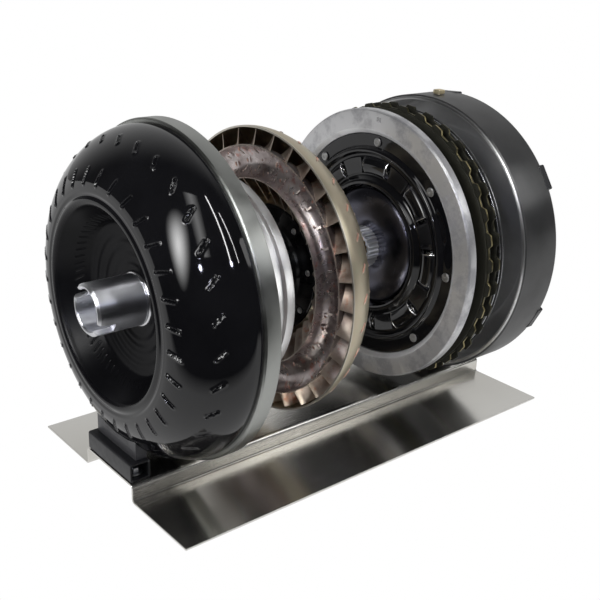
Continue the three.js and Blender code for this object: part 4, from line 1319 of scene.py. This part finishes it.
def softbox(name, place, aim, width, height, glow, shape="RECTANGLE"):
    """A flat light of even brightness that points at a place, in metres."""
    data = bpy.data.lights.new(name, "AREA")
    data.shape = shape
    data.size, data.size_y = width, height
    area = width * height * (math.pi / 4 if shape == "ELLIPSE" else 1)
    data.energy = glow * math.pi * area
    lamp = bpy.data.objects.new(name, data)
    lamp.location = place
    lamp.rotation_mode = "QUATERNION"
    lamp.rotation_quaternion = (Vector(aim) - Vector(place)).to_track_quat("-Z", "Y")
    bpy.context.scene.collection.objects.link(lamp)
    return lamp


def strip(name, start, end, width, glow):
    """A long thin light between two points, facing the object."""
    start, end = Vector(start), Vector(end)
    lamp = softbox(name, (start + end) / 2, (0, 0, AXIS * MM), width, (end - start).length, glow)
    along = (end - start).normalized()
    back = (lamp.location - Vector((0, 0, AXIS * MM))).normalized()
    across = along.cross(back).normalized()
    turn = Matrix((across, along, across.cross(along))).transposed()
    lamp.rotation_quaternion = turn.to_quaternion()


def only(lamp, piece):
    """Lets a lamp shine on one piece alone."""
    lit = bpy.data.collections.new("lit_by_" + lamp.name)
    lit.objects.link(piece)
    lamp.light_linking.receiver_collection = lit


def lights(hub, wheel):
    """Studio lights; the last two only glance along the pump's hub and the stator's rim."""
    pump = Vector((0.09, -0.2, 0.25))
    window = Vector((0.34, -1.50, 0.93))
    # Nested ellipses and strips, smaller and nearer one by one, give the window and the band soft edges.
    for i in range(WINDOW_LAYERS):
        size, glow = 1.25 - 0.085 * i, 0.35 + 0.14 * i
        place = window.lerp(pump, 0.004 * i)
        softbox(f"window_{i}", place, pump, 0.56 * size, 1.1 * size, glow, "ELLIPSE")
    for i in range(BAND_LAYERS):
        nearer = Vector((0, 0, 0.005 * i))
        start, end = Vector((0.25, -0.60, 1.66)) - nearer, Vector((1.00, -1.10, 1.05)) - nearer
        strip(f"band_{i}", start, end, 0.36 - 0.06 * i, 0.5)
    strip("tube_middle", (0.45, -0.20, 1.72), (1.32, -0.32, 1.00), 0.035, 26)
    strip("tube_right", (0.75, -0.02, 1.55), (1.40, 0.05, 1.00), 0.025, 26)
    for name, place in (("spot_left", (0.93, -1.31, 0.84)), ("spot_right", (1.40, -0.32, 1.02))):
        softbox(name, place, pump, 0.10, 0.10, 60, "ELLIPSE").data.color = (0.78, 0.80, 1.0)
    centre = (0.0, 0.0, AXIS * MM)
    softbox("side", (1.0, 0.95, 0.95), centre, 0.7, 0.6, 2.2)
    only(softbox("glance", (0.0, -0.75, 1.05), (0, -0.21, 0.19), 0.12, 0.4, 20), hub)
    only(softbox("rim", (1.05, 0.75, 0.25), (0.1, -0.1, 0.18), 0.8, 0.5, 3.5), wheel)


def camera():
    """Camera at the viewing angle: azimuth round the object, elevation and a slight roll, in degrees."""
    azimuth, elevation, roll = (math.radians(a) for a in (49.5, 21.27, 2.27))
    distance, lens_share = 1.0037, 927.5 / 600
    aim = Vector((-0.0532, 0.0418, 0.1032))
    back = Vector((math.sin(azimuth) * math.cos(elevation), -math.cos(azimuth) * math.cos(elevation),
                   math.sin(elevation)))
    right = Vector((math.cos(azimuth), math.sin(azimuth), 0))
    up = back.cross(right)
    tilted_right = right * math.cos(roll) + up * math.sin(roll)
    tilted_up = up * math.cos(roll) - right * math.sin(roll)
    data = bpy.data.cameras.new("camera")
    data.sensor_width = 36
    data.lens = 36 * lens_share
    data.clip_start = 0.05
    eye = bpy.data.objects.new("camera", data)
    turn = Matrix((tilted_right, tilted_up, back)).transposed().to_4x4()
    eye.matrix_world = Matrix.Translation(aim + back * distance) @ turn
    bpy.context.scene.collection.objects.link(eye)
    bpy.context.scene.camera = eye
    bpy.context.scene.view_settings.view_transform = "Standard"


stand()
hub = impeller()
wheel = stator()
turbine()
damper_hub()
damper()
friction_pack()
piston()
cover()
floor()
surroundings()
lights(hub, wheel)
camera()
